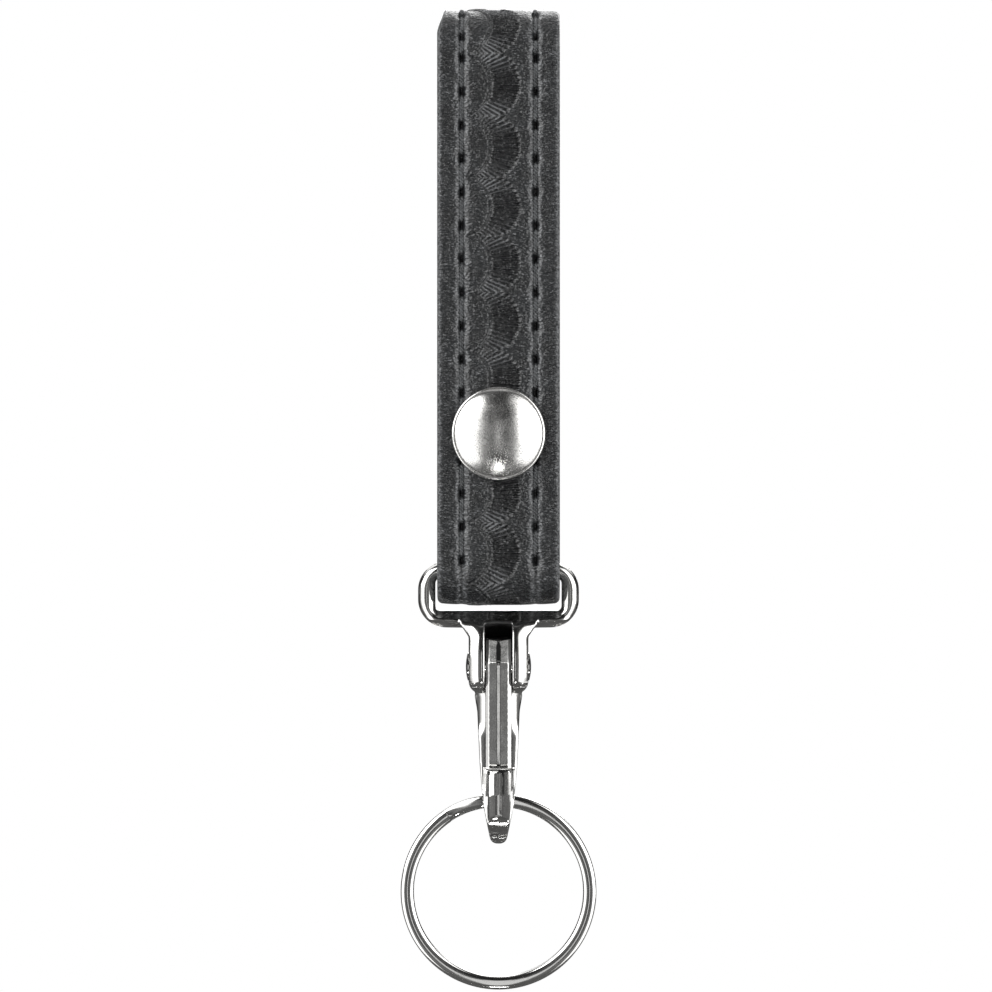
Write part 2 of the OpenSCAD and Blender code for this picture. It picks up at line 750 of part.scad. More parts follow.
// Spring-loaded trigger that closes the hook, with a ridge down its front
module trigger() {
    color([0.42, 0.42, 0.42]) difference() {
        across(trigger_w) {
            taper(pin_mid, hub_r, top_mid, trigger_top_r);
            taper(pin_mid, hub_r, tip_mid, trigger_tip_r);
        }
        ridge_cut(pin_mid, hub_r, tip_mid, trigger_tip_r, -1);
        ridge_cut(pin_mid, hub_r, top_mid, trigger_top_r, 1);
        translate([0, pin_mid[0], pin_mid[1]]) rotate([0, 90, 0])
            cylinder(h = trigger_w + cut, r = pin_r + running_gap, center = true);
        leg(0, spring_z, pocket_r, spring_front_y, spine_front_y + cut);
    }
}

// A closed tube through rings of points that run round their sections alike
module swept(rings) {
    sides = len(rings[0]);
    last = len(rings) - 1;
    polyhedron(
        points = [for (ring = rings) each ring],
        faces = [
            [for (s = [0 : sides - 1]) s],
            for (i = [0 : last - 1], s = [0 : sides - 1]) let (
                t = (s + 1) % sides, a = i * sides, b = a + sides)
                each [[a + s, b + s, b + t], [a + s, b + t, a + t]],
            [for (s = [sides - 1 : -1 : 0]) last * sides + s]
        ]
    );
}

// Coil spring that pushes the trigger's tip against the nose
module trigger_spring() {
    wire_r = spring_wire_d / 2;
    start_y = spring_front_y + wire_r + seat_gap / 2;
    steps = spring_turns * spring_steps;
    color([0.7, 0.7, 0.68]) swept([for (i = [0 : steps]) let (
        turn = 360 * i / spring_steps, along = spring_pitch * i / spring_steps)
        [for (s = [0 : wire_sides - 1]) let (
            around = -360 * s / wire_sides,
            out = spring_coil_r + wire_r * cos(around))
            [out * cos(turn), start_y + along + wire_r * sin(around), spring_z + out * sin(turn)]
        ]]);
}

// How far a coil of the ring lies from the ring's middle plane, by its angle from the start
function coil_shift(turn) =
    let (share = min(max((turn - 360 + crossover_span) / crossover_span, 0), 1))
    (coil_t + coil_gap) * (share * share * (3 - 2 * share) - 1 / 2);

// Split ring: two turns of flat wire that change places at the crossover
module split_ring() {
    half_w = ring_wire_w / 2;
    half_coil = coil_t / 2;
    section = [
        [half_w, ring_edge - half_coil], [half_w, half_coil - ring_edge],
        [half_w - ring_edge, half_coil], [ring_edge - half_w, half_coil],
        [-half_w, half_coil - ring_edge], [-half_w, ring_edge - half_coil],
        [ring_edge - half_w, -half_coil], [half_w - ring_edge, -half_coil]
    ];
    length = 720 - crossover_span;
    steps = 2 * ring_steps;
    color([0.68, 0.68, 0.69]) swept([for (i = [0 : steps]) let (
        turn = length * i / steps, at = crossover_angle + turn)
        [for (p = section) [
            (ring_mid_r + p[0]) * cos(at),
            throat_y + coil_shift(turn) + p[1],
            ring_z + (ring_mid_r + p[0]) * sin(at)
        ]]]);
}

front_leather();
front_lining();
flap_leather();
flap_lining();
left_stitching();
right_stitching();
flap_left_stitching();
flap_right_stitching();
snap_cap();
cap_post();
snap_socket();
socket_spring();
snap_stud();
stud_rivet();
hook_body();
hinge_pin();
trigger();
trigger_spring();
split_ring();
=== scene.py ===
import math

import bpy
import numpy as np
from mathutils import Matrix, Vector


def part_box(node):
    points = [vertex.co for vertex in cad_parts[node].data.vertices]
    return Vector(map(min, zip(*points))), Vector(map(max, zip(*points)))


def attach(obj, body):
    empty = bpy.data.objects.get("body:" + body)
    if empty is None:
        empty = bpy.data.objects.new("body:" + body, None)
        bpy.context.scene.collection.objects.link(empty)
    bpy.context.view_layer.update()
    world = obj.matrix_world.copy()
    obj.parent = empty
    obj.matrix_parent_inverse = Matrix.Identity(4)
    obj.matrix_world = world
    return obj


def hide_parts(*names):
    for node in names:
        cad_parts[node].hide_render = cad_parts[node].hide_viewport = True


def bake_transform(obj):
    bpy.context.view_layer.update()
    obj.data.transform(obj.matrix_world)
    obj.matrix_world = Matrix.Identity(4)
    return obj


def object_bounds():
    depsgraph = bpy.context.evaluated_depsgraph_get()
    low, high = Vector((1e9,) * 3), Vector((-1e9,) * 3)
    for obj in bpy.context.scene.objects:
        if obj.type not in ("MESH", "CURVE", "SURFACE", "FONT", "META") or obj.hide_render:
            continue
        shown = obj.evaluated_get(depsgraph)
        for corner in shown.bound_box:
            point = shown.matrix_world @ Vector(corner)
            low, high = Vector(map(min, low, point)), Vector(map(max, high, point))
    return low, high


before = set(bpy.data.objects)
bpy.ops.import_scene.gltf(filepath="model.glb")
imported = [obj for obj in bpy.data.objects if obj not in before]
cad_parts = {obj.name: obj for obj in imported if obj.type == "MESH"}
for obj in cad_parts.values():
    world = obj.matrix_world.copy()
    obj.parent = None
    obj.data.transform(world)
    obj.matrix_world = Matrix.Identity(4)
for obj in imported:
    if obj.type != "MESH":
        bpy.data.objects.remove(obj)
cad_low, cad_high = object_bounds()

mm = 0.001

# Studio. The holder hangs in front of white, over a pale floor, with a long soft box on each side
# and a dark room behind the camera, so that metal shows bright flanks and a grey middle.
photo_side = 992
photo_scale = 6.3 / mm
crest_row = 5.5
axis_column = 498.5
camera_distance = 900 * mm
sensor = 36

scene = bpy.context.scene
camera_data = bpy.data.cameras.new("camera")
camera_data.sensor_width = sensor
camera_data.lens = sensor * camera_distance * photo_scale / photo_side
camera_data.clip_start = 0.05
camera = bpy.data.objects.new("camera", camera_data)
camera.location = (
    (photo_side / 2 - axis_column) / photo_scale,
    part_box("front_leather")[0].y - camera_distance,
    cad_high.z - (photo_side / 2 - crest_row) / photo_scale,
)
camera.rotation_euler = (math.pi / 2, 0, 0)
scene.collection.objects.link(camera)
scene.camera = camera
scene.view_settings.view_transform = "Standard"


def wire(tree, source, target):
    """Feeds a socket, or a constant, into another socket."""
    if isinstance(source, bpy.types.NodeSocket):
        tree.links.new(source, target)
    else:
        target.default_value = source


def add_node(tree, kind, **inputs):
    """A shader node, with some of its inputs fed by sockets or constants."""
    made = tree.nodes.new("ShaderNode" + kind)
    for name, source in inputs.items():
        wire(tree, source, made.inputs[name])
    return made


def calc(tree, operation, *values):
    """A Math node on sockets or constants, or a row of them for more than two values."""
    made = add_node(tree, "Math")
    made.operation = operation
    for value, target in zip(values[:2], made.inputs):
        wire(tree, value, target)
    result = made.outputs[0]
    return calc(tree, operation, result, *values[2:]) if len(values) > 2 else result


def mult(tree, *values):
    return calc(tree, "MULTIPLY", *values)


def plus(tree, *values):
    return calc(tree, "ADD", *values)


def ramp(tree, value, start, end, low=0.0, high=1.0):
    """A smooth step from low to high as value goes from start to end."""
    made = add_node(tree, "MapRange")
    made.interpolation_type = "SMOOTHSTEP"
    for source, target in zip((value, start, end, low, high), made.inputs):
        wire(tree, source, target)
    return made.outputs[0]


def blend_colours(tree, share, a, b):
    """A colour between a and b."""
    made = add_node(tree, "Mix")
    made.data_type = "RGBA"
    wire(tree, share, made.inputs["Factor"])
    for value, target in ((a, made.inputs[6]), (b, made.inputs[7])):
        wire(tree, value if isinstance(value, bpy.types.NodeSocket) else (*value, 1), target)
    return made.outputs[2]


def scaled(tree, vector, factors, shift=(0, 0, 0)):
    return add_node(tree, "Mapping", Vector=vector, Location=shift, Scale=factors).outputs[0]


world = bpy.data.worlds.new("studio")
scene.world = world
world.use_nodes = True
sky = world.node_tree
sky.nodes.clear()
parts = add_node(sky, "SeparateXYZ", Vector=add_node(sky, "TexCoord").outputs["Generated"])
aside = calc(sky, "ARCTAN2", calc(sky, "ABSOLUTE", parts.outputs[0]),
             mult(sky, parts.outputs[1], -1.0))
height = calc(sky, "ARCSINE", parts.outputs[2])
degree = math.radians(1)


def slope(value, start, end, low=0.0, high=1.0):
    """A ramp over directions that are given in degrees."""
    return ramp(sky, value, start * degree, end * degree, low, high)


box_level, overhead_level, strip_level, lamp_level = 2.1, 1.4, 0.8, 16.0
room = mult(sky, slope(height, -32, -14, 0.03, 0.22), slope(height, 8, 26, 1.0, 0.22),
            slope(aside, 8, 22, 0.42, 1.0), slope(aside, 96, 110, 1.0, 0.25))
behind = mult(sky, slope(aside, 105, 125), slope(height, 20, 42))
overhead = calc(sky, "MAXIMUM", slope(height, 68, 84, 0.0, 0.6), behind)
room = plus(sky, room, mult(sky, overhead, overhead_level))
soft_boxes = mult(sky, slope(aside, 27, 35), slope(aside, 60, 98, 1.0, 0.0),
                  slope(height, -44, -36), slope(height, 48, 56, 1.0, 0.0), box_level)
strip = mult(sky, slope(aside, 2.2, 3.2, 1.0, 0.0), slope(height, 15, 21, 1.0, 0.0),
             slope(height, -26, -20, 0.0, strip_level))
lamp_height, lamp_half_w, lamp_half_h = -49, 0.065, 0.06
lamp_across = calc(sky, "DIVIDE", parts.outputs[0], lamp_half_w)
lamp_up = calc(sky, "DIVIDE", calc(sky, "SUBTRACT", height, lamp_height * degree), lamp_half_h)
lamp_far = plus(sky, calc(sky, "POWER", lamp_across, 2.0), calc(sky, "POWER", lamp_up, 2.0))
small_lamp = mult(sky, calc(sky, "LESS_THAN", parts.outputs[1], 0.0),
                  ramp(sky, lamp_far, 0.6, 1.4, 1.0, 0.0), lamp_level)
seen = plus(sky, calc(sky, "MAXIMUM", soft_boxes, room), strip, small_lamp)

path = add_node(sky, "LightPath")
plain_level = 0.5
mirror_share = calc(sky, "MAXIMUM", path.outputs["Is Glossy Ray"],
                    path.outputs["Is Transmission Ray"])
level = plus(sky, mult(sky, mirror_share, seen),
             mult(sky, calc(sky, "SUBTRACT", 1.0, mirror_share), plain_level))
level = calc(sky, "MAXIMUM", level, path.outputs["Is Camera Ray"])
background = add_node(sky, "Background", Color=(1, 1, 1, 1), Strength=level)
add_node(sky, "OutputWorld", Surface=background.outputs[0])


def soft_lamp(name, place, aim, size, power):
    """A square soft lamp that faces a point."""
    data = bpy.data.lights.new(name, "AREA")
    data.size, data.energy = size, power
    lamp = bpy.data.objects.new(name, data)
    lamp.location = place
    lamp.rotation_euler = (Vector(aim) - Vector(place)).to_track_quat("-Z", "Y").to_euler()
    lamp.visible_camera = False
    scene.collection.objects.link(lamp)


middle = (0, 0, (cad_low.z + cad_high.z) / 2)
soft_lamp("left_lamp", (-0.46, -0.26, 0.2), middle, 0.5, 2.6)
soft_lamp("right_lamp", (0.5, -0.3, 0.02), middle, 0.5, 1.8)
soft_lamp("back_lamp", (0.1, 0.55, 0.25), middle, 0.4, 2.4)


def deselect():
    bpy.ops.object.select_all(action="DESELECT")


def settle(name):
    """Names the primitive just added and applies its place, turn and scale."""
    piece = bpy.context.object
    piece.name = piece.data.name = name
    bpy.ops.object.transform_apply(location=True, rotation=True, scale=True)
    return piece


floor_drop = 95 * mm
floor_r = 0.6
deselect()
bpy.ops.mesh.primitive_circle_add(vertices=96, radius=floor_r, fill_type="NGON",
                                  location=(0, 0, cad_low.z - floor_drop))
floor = settle("floor")
pale = bpy.data.materials.new("pale_floor")
pale.use_nodes = True
tree = pale.node_tree
tree.nodes.clear()
spot = add_node(tree, "TexCoord").outputs["Object"]
spread = add_node(tree, "VectorMath")
spread.operation = "LENGTH"
wire(tree, scaled(tree, spot, (1, 1, 0)), spread.inputs[0])
matt = add_node(tree, "BsdfDiffuse", Color=(0.93, 0.93, 0.92, 1))
clear = add_node(tree, "BsdfTransparent")
fade = add_node(tree, "MixShader")
path = add_node(tree, "LightPath")
mirrored = mult(tree, path.outputs["Is Glossy Ray"], 0.9)
edge = ramp(tree, spread.outputs["Value"], 0.1 * floor_r, 0.95 * floor_r)
wire(tree, calc(tree, "MAXIMUM", edge, mirrored), fade.inputs[0])
wire(tree, matt.outputs[0], fade.inputs[1])
wire(tree, clear.outputs[0], fade.inputs[2])
add_node(tree, "OutputMaterial", Surface=fade.outputs[0])
floor.data.materials.append(pale)


# Tooled strap: one strip of black bridle leather, folded over at the belt and round the hook's eye.
# Its face is stamped with a row of scallops and fans, creased along both stitch lines, and its
# edges are rubbed round. The strip that shows and the tail behind it meet under the lower fold.
leather_low, leather_high = (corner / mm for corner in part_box("front_leather"))
flap_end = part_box("flap_leather")[0].z / mm
lining_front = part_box("front_lining")[0].y / mm
tail_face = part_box("snap_socket")[0].y / mm
half_w = leather_high.x
strap_t = leather_high.z
outer_ply = lining_front - leather_low.y
half_t = strap_t / 2
ply_line = half_t - outer_ply
crest_y, crest_z = 0.0, leather_low.y + strap_t
crest_mid_r = -leather_low.y - half_t
fold_out_r = (leather_high.y - leather_low.y) / 2
fold_mid_r = fold_out_r - half_t
fold_y = leather_low.y + fold_out_r
fold_z = leather_low.z + fold_out_r
crest_out_r = crest_mid_r + half_t

row_step = 0.15
end_step = 0.1
end_round = 0.7
front_start = fold_out_r * math.pi / 2
crest_start = front_start + crest_z - fold_z
flap_start = crest_start + crest_out_r * math.pi
strip_end = flap_start + crest_z - flap_end
flap_corner_r = 7.0
fold_sag = 0.5


def sag(*pieces):
    """The lower fold hangs a little, most in its middle."""
    for piece in pieces:
        spots = coords(piece)
        share = smooth(fold_z + 1 - spots[:, 2], 0, 4) * (1 - 0.7 * (spots[:, 0] / half_w) ** 4)
        spots[:, 2] -= fold_sag * share
        set_coords(piece, spots)


def read(group, name, width, kind):
    """One value of every vertex, edge, face or corner."""
    values = np.empty(len(group) * width, kind)
    group.foreach_get(name, values)
    return values


def coords(piece):
    return read(piece.data.vertices, "co", 3, float).reshape(-1, 3) / mm


def set_coords(piece, spots):
    piece.data.vertices.foreach_set("co", (spots * mm).ravel())
    piece.data.update()


def set_mode(mode):
    bpy.ops.object.mode_set(mode=mode)


def select_mesh():
    bpy.ops.mesh.select_all(action="SELECT")


def edit_all():
    set_mode("EDIT")
    select_mesh()


def face_outwards():
    """Turns every face outwards and leaves edit mode."""
    select_mesh()
    bpy.ops.mesh.normals_make_consistent(inside=False)
    set_mode("OBJECT")


def pick(piece, kind, wanted):
    """In edit mode, selects the verts or edges whose middle, in millimetres, is wanted."""
    set_mode("OBJECT")
    mesh, spots = piece.data, coords(piece)
    for group in (mesh.vertices, mesh.edges, mesh.polygons):
        group.foreach_set("select", np.zeros(len(group), bool))
    if kind == "VERT":
        mesh.vertices.foreach_set("select", wanted(spots))
    else:
        ends = read(mesh.edges, "vertices", 2, int)
        a, b = spots[ends[0::2]], spots[ends[1::2]]
        mesh.edges.foreach_set("select", wanted((a + b) / 2, b - a))
    set_mode("EDIT")
    bpy.ops.mesh.select_mode(type=kind)


def ply_profile(name, outer, inner, outer_round, inner_round, columns, inner_columns):
    """The closed outline of one ply, stood upright at the bottom of the lower fold."""
    deselect()
    deep, shallow = fold_z - fold_mid_r - outer, fold_z - fold_mid_r - inner
    bpy.ops.mesh.primitive_plane_add(size=1, rotation=(math.pi / 2, 0, 0),
                                     location=(0, fold_y * mm, (deep + shallow) / 2 * mm))
    bpy.context.object.scale = (2 * half_w * mm, (shallow - deep) * mm, 1)
    piece = settle(name)
    set_mode("EDIT")
    level = (deep + shallow) / 2
    for radius, side, steps in ((outer_round, -1, 4), (inner_round, 1, 3)):
        pick(piece, "VERT", lambda at: side * (at[:, 2] - level) > 0.9 * abs(shallow - level))
        bpy.ops.mesh.bevel(offset=radius * mm, segments=steps, affect="VERTICES")
    for z, cuts in ((deep, columns), (shallow, inner_columns)):
        pick(piece, "EDGE", lambda at, along: (
            (abs(at[:, 2] - z) < 0.001) & (abs(along[:, 0]) > half_w)))
        bpy.ops.mesh.subdivide(number_cuts=cuts)
    select_mesh()
    bpy.ops.mesh.delete(type="ONLY_FACE")
    select_mesh()
    return piece


def turn_strip(angle, y, z, radius, step):
    """Carries the open end of a strip round a bend."""
    steps = max(4, round(abs(angle) * radius / step))
    bpy.ops.mesh.spin(steps=steps, angle=angle, center=(0, y * mm, z * mm), axis=(1, 0, 0))


def run_strip(length, step):
    """Carries the open end of a strip straight on, up or down, in a few long steps."""
    steps = math.ceil(abs(length) / step / 100)
    bpy.ops.mesh.extrude_repeat(steps=steps, offset=(0, 0, length / steps * mm))
    return abs(length) / steps


def fill_rows(piece, long_steps, step):
    """Divides the long steps of the straight runs into rows."""
    for length in long_steps:
        pick(piece, "EDGE", lambda at, along: abs(abs(along[:, 2]) - length) < 0.001)
        bpy.ops.mesh.subdivide(number_cuts=round(length / step) - 1)


def seal_seam(piece):
    """Closes a strip at its end and, with a flat face and a crisp corner, under the lower fold."""
    bpy.ops.mesh.select_all(action="DESELECT")
    bpy.ops.mesh.select_non_manifold()
    bpy.ops.mesh.edge_face_add()
    pick(piece, "EDGE", lambda at, along: (
        (abs(at[:, 1] - fold_y) < 0.001) & (at[:, 2] < fold_z - 1)))
    bpy.ops.mesh.region_to_loop()
    bpy.ops.mesh.mark_sharp()
    face_outwards()
    piece.data.shade_smooth()


def main_strip(name, step, *ply):
    """Front, crest and flap of one ply in one piece, with longer rows in the flap."""
    piece = ply_profile(name, *ply)
    turn_strip(math.pi / 2, fold_y, fold_z, fold_out_r, step)
    front_run = run_strip(crest_z - fold_z, step)
    turn_strip(math.pi, crest_y, crest_z, crest_out_r, step)
    flap_run = run_strip(flap_end + flap_corner_r - crest_z, step)
    end_run = run_strip(end_round - flap_corner_r, step)
    last_run = run_strip(-end_round, step)
    fill_rows(piece, (front_run,), step)
    fill_rows(piece, (flap_run, end_run), 2 * step)
    fill_rows(piece, (last_run,), end_step)
    seal_seam(piece)
    trim_end(piece, on_strip(coords(piece))[0], strip_end, flap_corner_r,
             lambda far: crest_z - far + flap_start, crest_mid_r, *ply[:2])
    return piece


def on_strip(spots):
    """Where points of the main strip lie: length along its outer face, outward direction in Y and Z
    and height above the middle of its thickness."""
    y, z = spots[:, 1], spots[:, 2]
    fold_dy, fold_dz, crest_dz = y - fold_y, z - fold_z, z - crest_z
    fold_far, crest_far = np.hypot(fold_dy, fold_dz), np.hypot(y, crest_dz)
    zones = [z < fold_z, z > crest_z, y < 0]
    along = np.select(zones, [
        np.arctan2(-fold_dy, -fold_dz) * fold_out_r,
        crest_start + np.arctan2(crest_dz, -y) * crest_out_r,
        front_start + z - fold_z], flap_start + crest_z - z)
    out_y = np.select(zones, [fold_dy / fold_far, y / crest_far, -np.ones_like(y)], 1.0)
    out_z = np.select(zones, [fold_dz / fold_far, crest_dz / crest_far, np.zeros_like(y)], 0.0)
    high = np.select(zones, [fold_far - fold_mid_r, crest_far - crest_mid_r, -y - crest_mid_r],
                     y - crest_mid_r)
    return along, out_y, out_z, high


def from_strip(along, high):
    """Y and Z of points given by their length along the main strip and height above its middle."""
    fold_a = along / fold_out_r
    crest_a = (along - crest_start) / crest_out_r
    fold_far, crest_far = fold_mid_r + high, crest_mid_r + high
    zones = [along < front_start, along < crest_start, along < flap_start]
    y = np.select(zones, [fold_y - fold_far * np.sin(fold_a), -crest_far,
                          -crest_far * np.cos(crest_a)], crest_far)
    z = np.select(zones, [fold_z - fold_far * np.cos(fold_a), fold_z + along - front_start,
                          crest_z + crest_far * np.sin(crest_a)], crest_z - along + flap_start)
    return y, z


def smooth(value, start, end):
    share = np.clip((value - start) / (end - start), 0, 1)
    return share * share * (3 - 2 * share)


def bell(value, width):
    return np.exp(-(value / width) ** 2)


# Stitch holes along the front and the flap, as lengths along the outer face
stitch_pitch = 5.32
row_x = 5.87
first_hole_rise = 1.55
crease_depth, pit_depth, trough_depth = 0.3, 0.9, 0.2
crest_holes = (20, 62)
front_holes = front_start + first_hole_rise + stitch_pitch * np.arange(16)
over_crest = [crest_start + crest_out_r * math.radians(a) for a in
              (*crest_holes, *(180 - a for a in reversed(crest_holes)))]
flap_holes = flap_start + stitch_pitch * (np.arange(13) + 0.25)
strip_holes = np.concatenate([front_holes, over_crest, flap_holes])


def near_hole(along, holes):
    """Distance to the nearest stitch hole, along the row."""
    return abs(along[:, None] - holes[None, :]).min(axis=1)


def stitch_bed(across, along, holes):
    """The trough that a row of stitches pulls into the leather, widest at the holes, then where the
    slits are, which get painted shade, and where the banks beside the thread get a painted
    highlight."""
    off = abs(abs(across) - row_x)
    near = near_hole(along, holes)
    hole = 1 - smooth(near, 0.1, 1.5)
    swell = 0.5 + 0.5 * np.cos(math.pi * np.clip(near / (stitch_pitch / 2), 0, 1))
    sewn = smooth(holes[-1] + stitch_pitch / 3 - along, 0, 1.5)
    crease = -(crease_depth + 0.12 * swell) * bell(off, 0.42 + 0.34 * swell)
    pit = -pit_depth * hole * bell(off, 0.34)
    trough = -trough_depth * bell(off, 1.7)
    pulled = sewn * (0.25 + 0.75 * smooth(along, 3, 10))
    # The banks beside the thread, which get a painted highlight on the stamped face.
    bank = sewn * bell(off - 0.5 - 0.3 * swell, 0.32)
    return pulled * (crease + pit + trough), sewn * bell(near, 0.95) * bell(off, 0.4), bank


# The stamped pattern: cusps on the left, an arc that swells to the right, then a fan of cut lines
cusp_x = -4.85
scallop_bulge = 3.4
fan_reach = 4.85
fan_root = -8.2
fan_angle = math.radians(4.2)
scallop_pitch = [9.5, 9.1, 9.1, 9.1, 9.3, 8.9, 9.2] + [9.9] * 4 + [9.4] * 7
cusps = np.cumsum([-3.4, 9.5] + scallop_pitch)


def scallop_at(along):
    """Middle and half length of the scallop that each place lies in."""
    k = np.clip(np.searchsorted(cusps, along), 1, len(cusps) - 1)
    return (cusps[k] + cusps[k - 1]) / 2, (cusps[k] - cusps[k - 1]) / 2


def stamped(across, along):
    """Height of the stamped pattern, and where its fans are."""
    mid, half = scallop_at(along)
    local = along - mid
    arc_r = (half ** 2 + scallop_bulge ** 2) / (2 * scallop_bulge)
    arc_x = cusp_x + scallop_bulge - arc_r
    from_arc = np.hypot(across - arc_x, local) - arc_r
    in_band = smooth(across, cusp_x - 0.25, cusp_x + 0.1)
    phase = np.arctan2(local, across - fan_root) / fan_angle
    ridge = 0.5 + 0.5 * np.cos(2 * math.pi * phase)
    uneven = 0.5 + 0.5 * np.sin(1.7 * along + 0.9 * across)
    rim = arc_r + 0.05 + (0.08 + 0.16 * uneven) * (1 - ridge)
    from_rim = rim - np.hypot(across - arc_x - fan_reach, local)
    fan = in_band * smooth(from_arc, 0.3, 0.55) * smooth(from_rim, 0, 0.22)
    deeper = np.clip(from_arc / fan_reach, 0, 1)
    cut = -fan * (0.08 + 0.16 * deeper + 0.3 * (1 - ridge))
    line = in_band * (0.08 * bell(abs(from_arc) - 0.3, 0.13) - 0.24 * bell(from_arc, 0.16))
    scale = in_band * smooth(-from_arc, 0.2, 1.6) * 0.1
    past_rim = smooth(across, arc_x + fan_reach, arc_x + fan_reach + 2)
    lip = in_band * 0.03 * bell(from_rim + 0.2, 0.16) * past_rim
    return cut + line + scale + lip, fan


def wobble(across, along, seed):
    """The slight unevenness of a hand-made strap."""
    waves = np.random.default_rng(seed).uniform(-1, 1, (7, 4))
    total = np.zeros_like(across)
    for a, b, c, d in waves:
        total += np.sin(across * (0.25 + 0.2 * a) + along * (0.12 + 0.09 * b) + 6 * c) * d
    return total / 7


def hide_across(across, high):
    """Distance across the hide, which goes on round the edge."""
    past_edge = smooth(abs(across), half_w - 0.6, half_w - 0.05)
    return across + np.sign(across) * past_edge * (half_t - high)


def give_values(piece, name, values):
    layer = piece.data.attributes.new(name, "FLOAT", "POINT")
    layer.data.foreach_set("value", values.astype(np.float32))


map_side = 200.0


def give_map(piece, name, across, along):
    """A UV map in shares of the map's side, from values in millimetres at each corner."""
    layer = piece.data.uv_layers.new(name=name)
    pairs = np.stack([across / map_side + 0.5, along / map_side + 0.5], 1)
    layer.data.foreach_set("uv", pairs.astype(np.float32).ravel())


def corner_table(piece):
    """The vertex of each face corner, and how many corners each face has."""
    return (read(piece.data.loops, "vertex_index", 1, int),
            read(piece.data.polygons, "loop_total", 1, int))


def trim_end(piece, along, end, corner_r, z_at, strap_y, outer, inner):
    """Draws the sides in where the end of a strip is cut round, and rubs its edge round."""
    spots = coords(piece)
    reach = np.clip((along - (end - corner_r)) / (corner_r - end_round), 0, 1)
    turn = reach * math.pi / 2
    past = np.clip((along - end) / end_round + 1, 0, 1)
    drawn_in = end_round * (1 - np.sqrt(1 - past ** 2))
    spots[:, 0] *= (half_w - corner_r + corner_r * np.cos(turn) - drawn_in) / half_w
    middle_y = strap_y + (outer + inner) / 2
    spots[:, 1] = middle_y + (spots[:, 1] - middle_y) * (1 - 2 * drawn_in / (outer - inner))
    inside = (reach > 0) & (reach < 1)
    far = (corner_r - end_round) * np.sin(turn) + end - corner_r
    spots[:, 2] = np.where(inside, z_at(far), spots[:, 2])
    set_coords(piece, spots)


def pull_corner(piece):
    """The left edge is drawn in by up to 1 mm where the leather turns over the belt."""
    spots = coords(piece)
    share = smooth(spots[:, 2] - crest_z, 0.5 * crest_mid_r, 1.3 * crest_mid_r)
    spots[:, 0] += share * smooth(-spots[:, 0], 7.2, half_w)
    set_coords(piece, spots)


def tooling(across, along):
    """Height of the stamped pattern and of the face's camber, and where the fans are."""
    pattern, fan = stamped(across, along)
    stamped_part = smooth(strip_end - along, 5.2, 6.4)
    off_crest = abs(along - (crest_start + flap_start) / 2)
    unevenness = 0.07 * wobble(across, along, 3) * smooth(off_crest, 6, 16)
    camber = -0.16 * abs(across / half_w) ** 4 + unevenness
    return pattern * stamped_part + camber, fan * stamped_part


def finish_ply(piece, place, face, holes, depth=1.0, stamp=None):
    """Presses the stitch line, and a stamp if given, into one face of a ply. It gives the
    leather its map and values, and returns where its points lie across and along."""
    spots = coords(piece)
    along, out_y, out_z, high = place(spots)
    across, side = spots[:, 0], 1 if face > 0 else -1
    on_face = smooth(side * high, abs(face) - 0.7, abs(face) - 0.02)
    on_face *= smooth(half_w - abs(across), 0.1, 0.9)
    bed, hole, bank = stitch_bed(across, along, holes)
    # The edge mask is partly real wear on the rounded sides and partly a painted highlight there;
    # on the stamped face it also takes the painted highlight of the stitch banks.
    raised, rub_and_glint = depth * bed, 1 - smooth(half_w - abs(across), 0.25, 0.95)
    if stamp:
        pattern, fan = stamp(across, along)
        raised, rub_and_glint = raised + pattern, np.maximum(rub_and_glint, bank * on_face)
        give_values(piece, "fan", fan * on_face)
    lift = side * on_face * raised
    spots[:, 1] += lift * out_y
    spots[:, 2] += lift * out_z
    set_coords(piece, spots)
    # This mask marks where painted shade goes in the stitch slits.
    give_values(piece, "slit_shade", hole * on_face)
    give_values(piece, "rub_and_glint", rub_and_glint)
    of_corner, _ = corner_table(piece)
    give_map(piece, "hide", hide_across(across, high)[of_corner], along[of_corner])
    return across, along


tooled = main_strip("tooled_strap", row_step, half_t, ply_line, 0.75, 0.25, 78, 0)
across, along = finish_ply(tooled, on_strip, half_t, strip_holes, stamp=tooling)
pull_corner(tooled)
sag(tooled)
of_corner, sizes = corner_table(tooled)
of_face = np.repeat(np.arange(len(sizes)), sizes)
face_along = np.bincount(of_face, along[of_corner]) / sizes
mid, _ = scallop_at(face_along)
give_map(tooled, "stamp", across[of_corner], along[of_corner] - mid[of_face])


def new_material(name):
    made = bpy.data.materials.new(name)
    made.use_nodes = True
    tree = made.node_tree
    return made, tree, tree.nodes["Principled BSDF"]


def noise(tree, vector, scale, detail, roughness):
    return add_node(tree, "TexNoise", Vector=vector, Scale=scale, Detail=detail,
                    Roughness=roughness).outputs[0]


def finish_shader(tree, shader, colour, roughness, height, distance=1.0 * mm):
    """Gives a shader its colour, its roughness and its fine relief."""
    relief = add_node(tree, "Bump", Strength=1.0, Distance=distance, Height=height)
    wire(tree, colour, shader.inputs["Base Color"])
    wire(tree, roughness, shader.inputs["Roughness"])
    wire(tree, relief.outputs[0], shader.inputs["Normal"])


def new_group(name, takes, gives):
    """A shader node group with named float or vector inputs and float outputs."""
    group = bpy.data.node_groups.new(name, "ShaderNodeTree")
    for socket, kind in takes:
        group.interface.new_socket(socket, in_out="INPUT", socket_type=kind)
    for socket in gives:
        group.interface.new_socket(socket, in_out="OUTPUT", socket_type="NodeSocketFloat")
    return group, group.nodes.new("NodeGroupInput"), group.nodes.new("NodeGroupOutput")


def use_group(tree, group, **values):
    made = add_node(tree, "Group")
    made.node_tree = group
    for name, value in values.items():
        wire(tree, value, made.inputs[name])
    return made


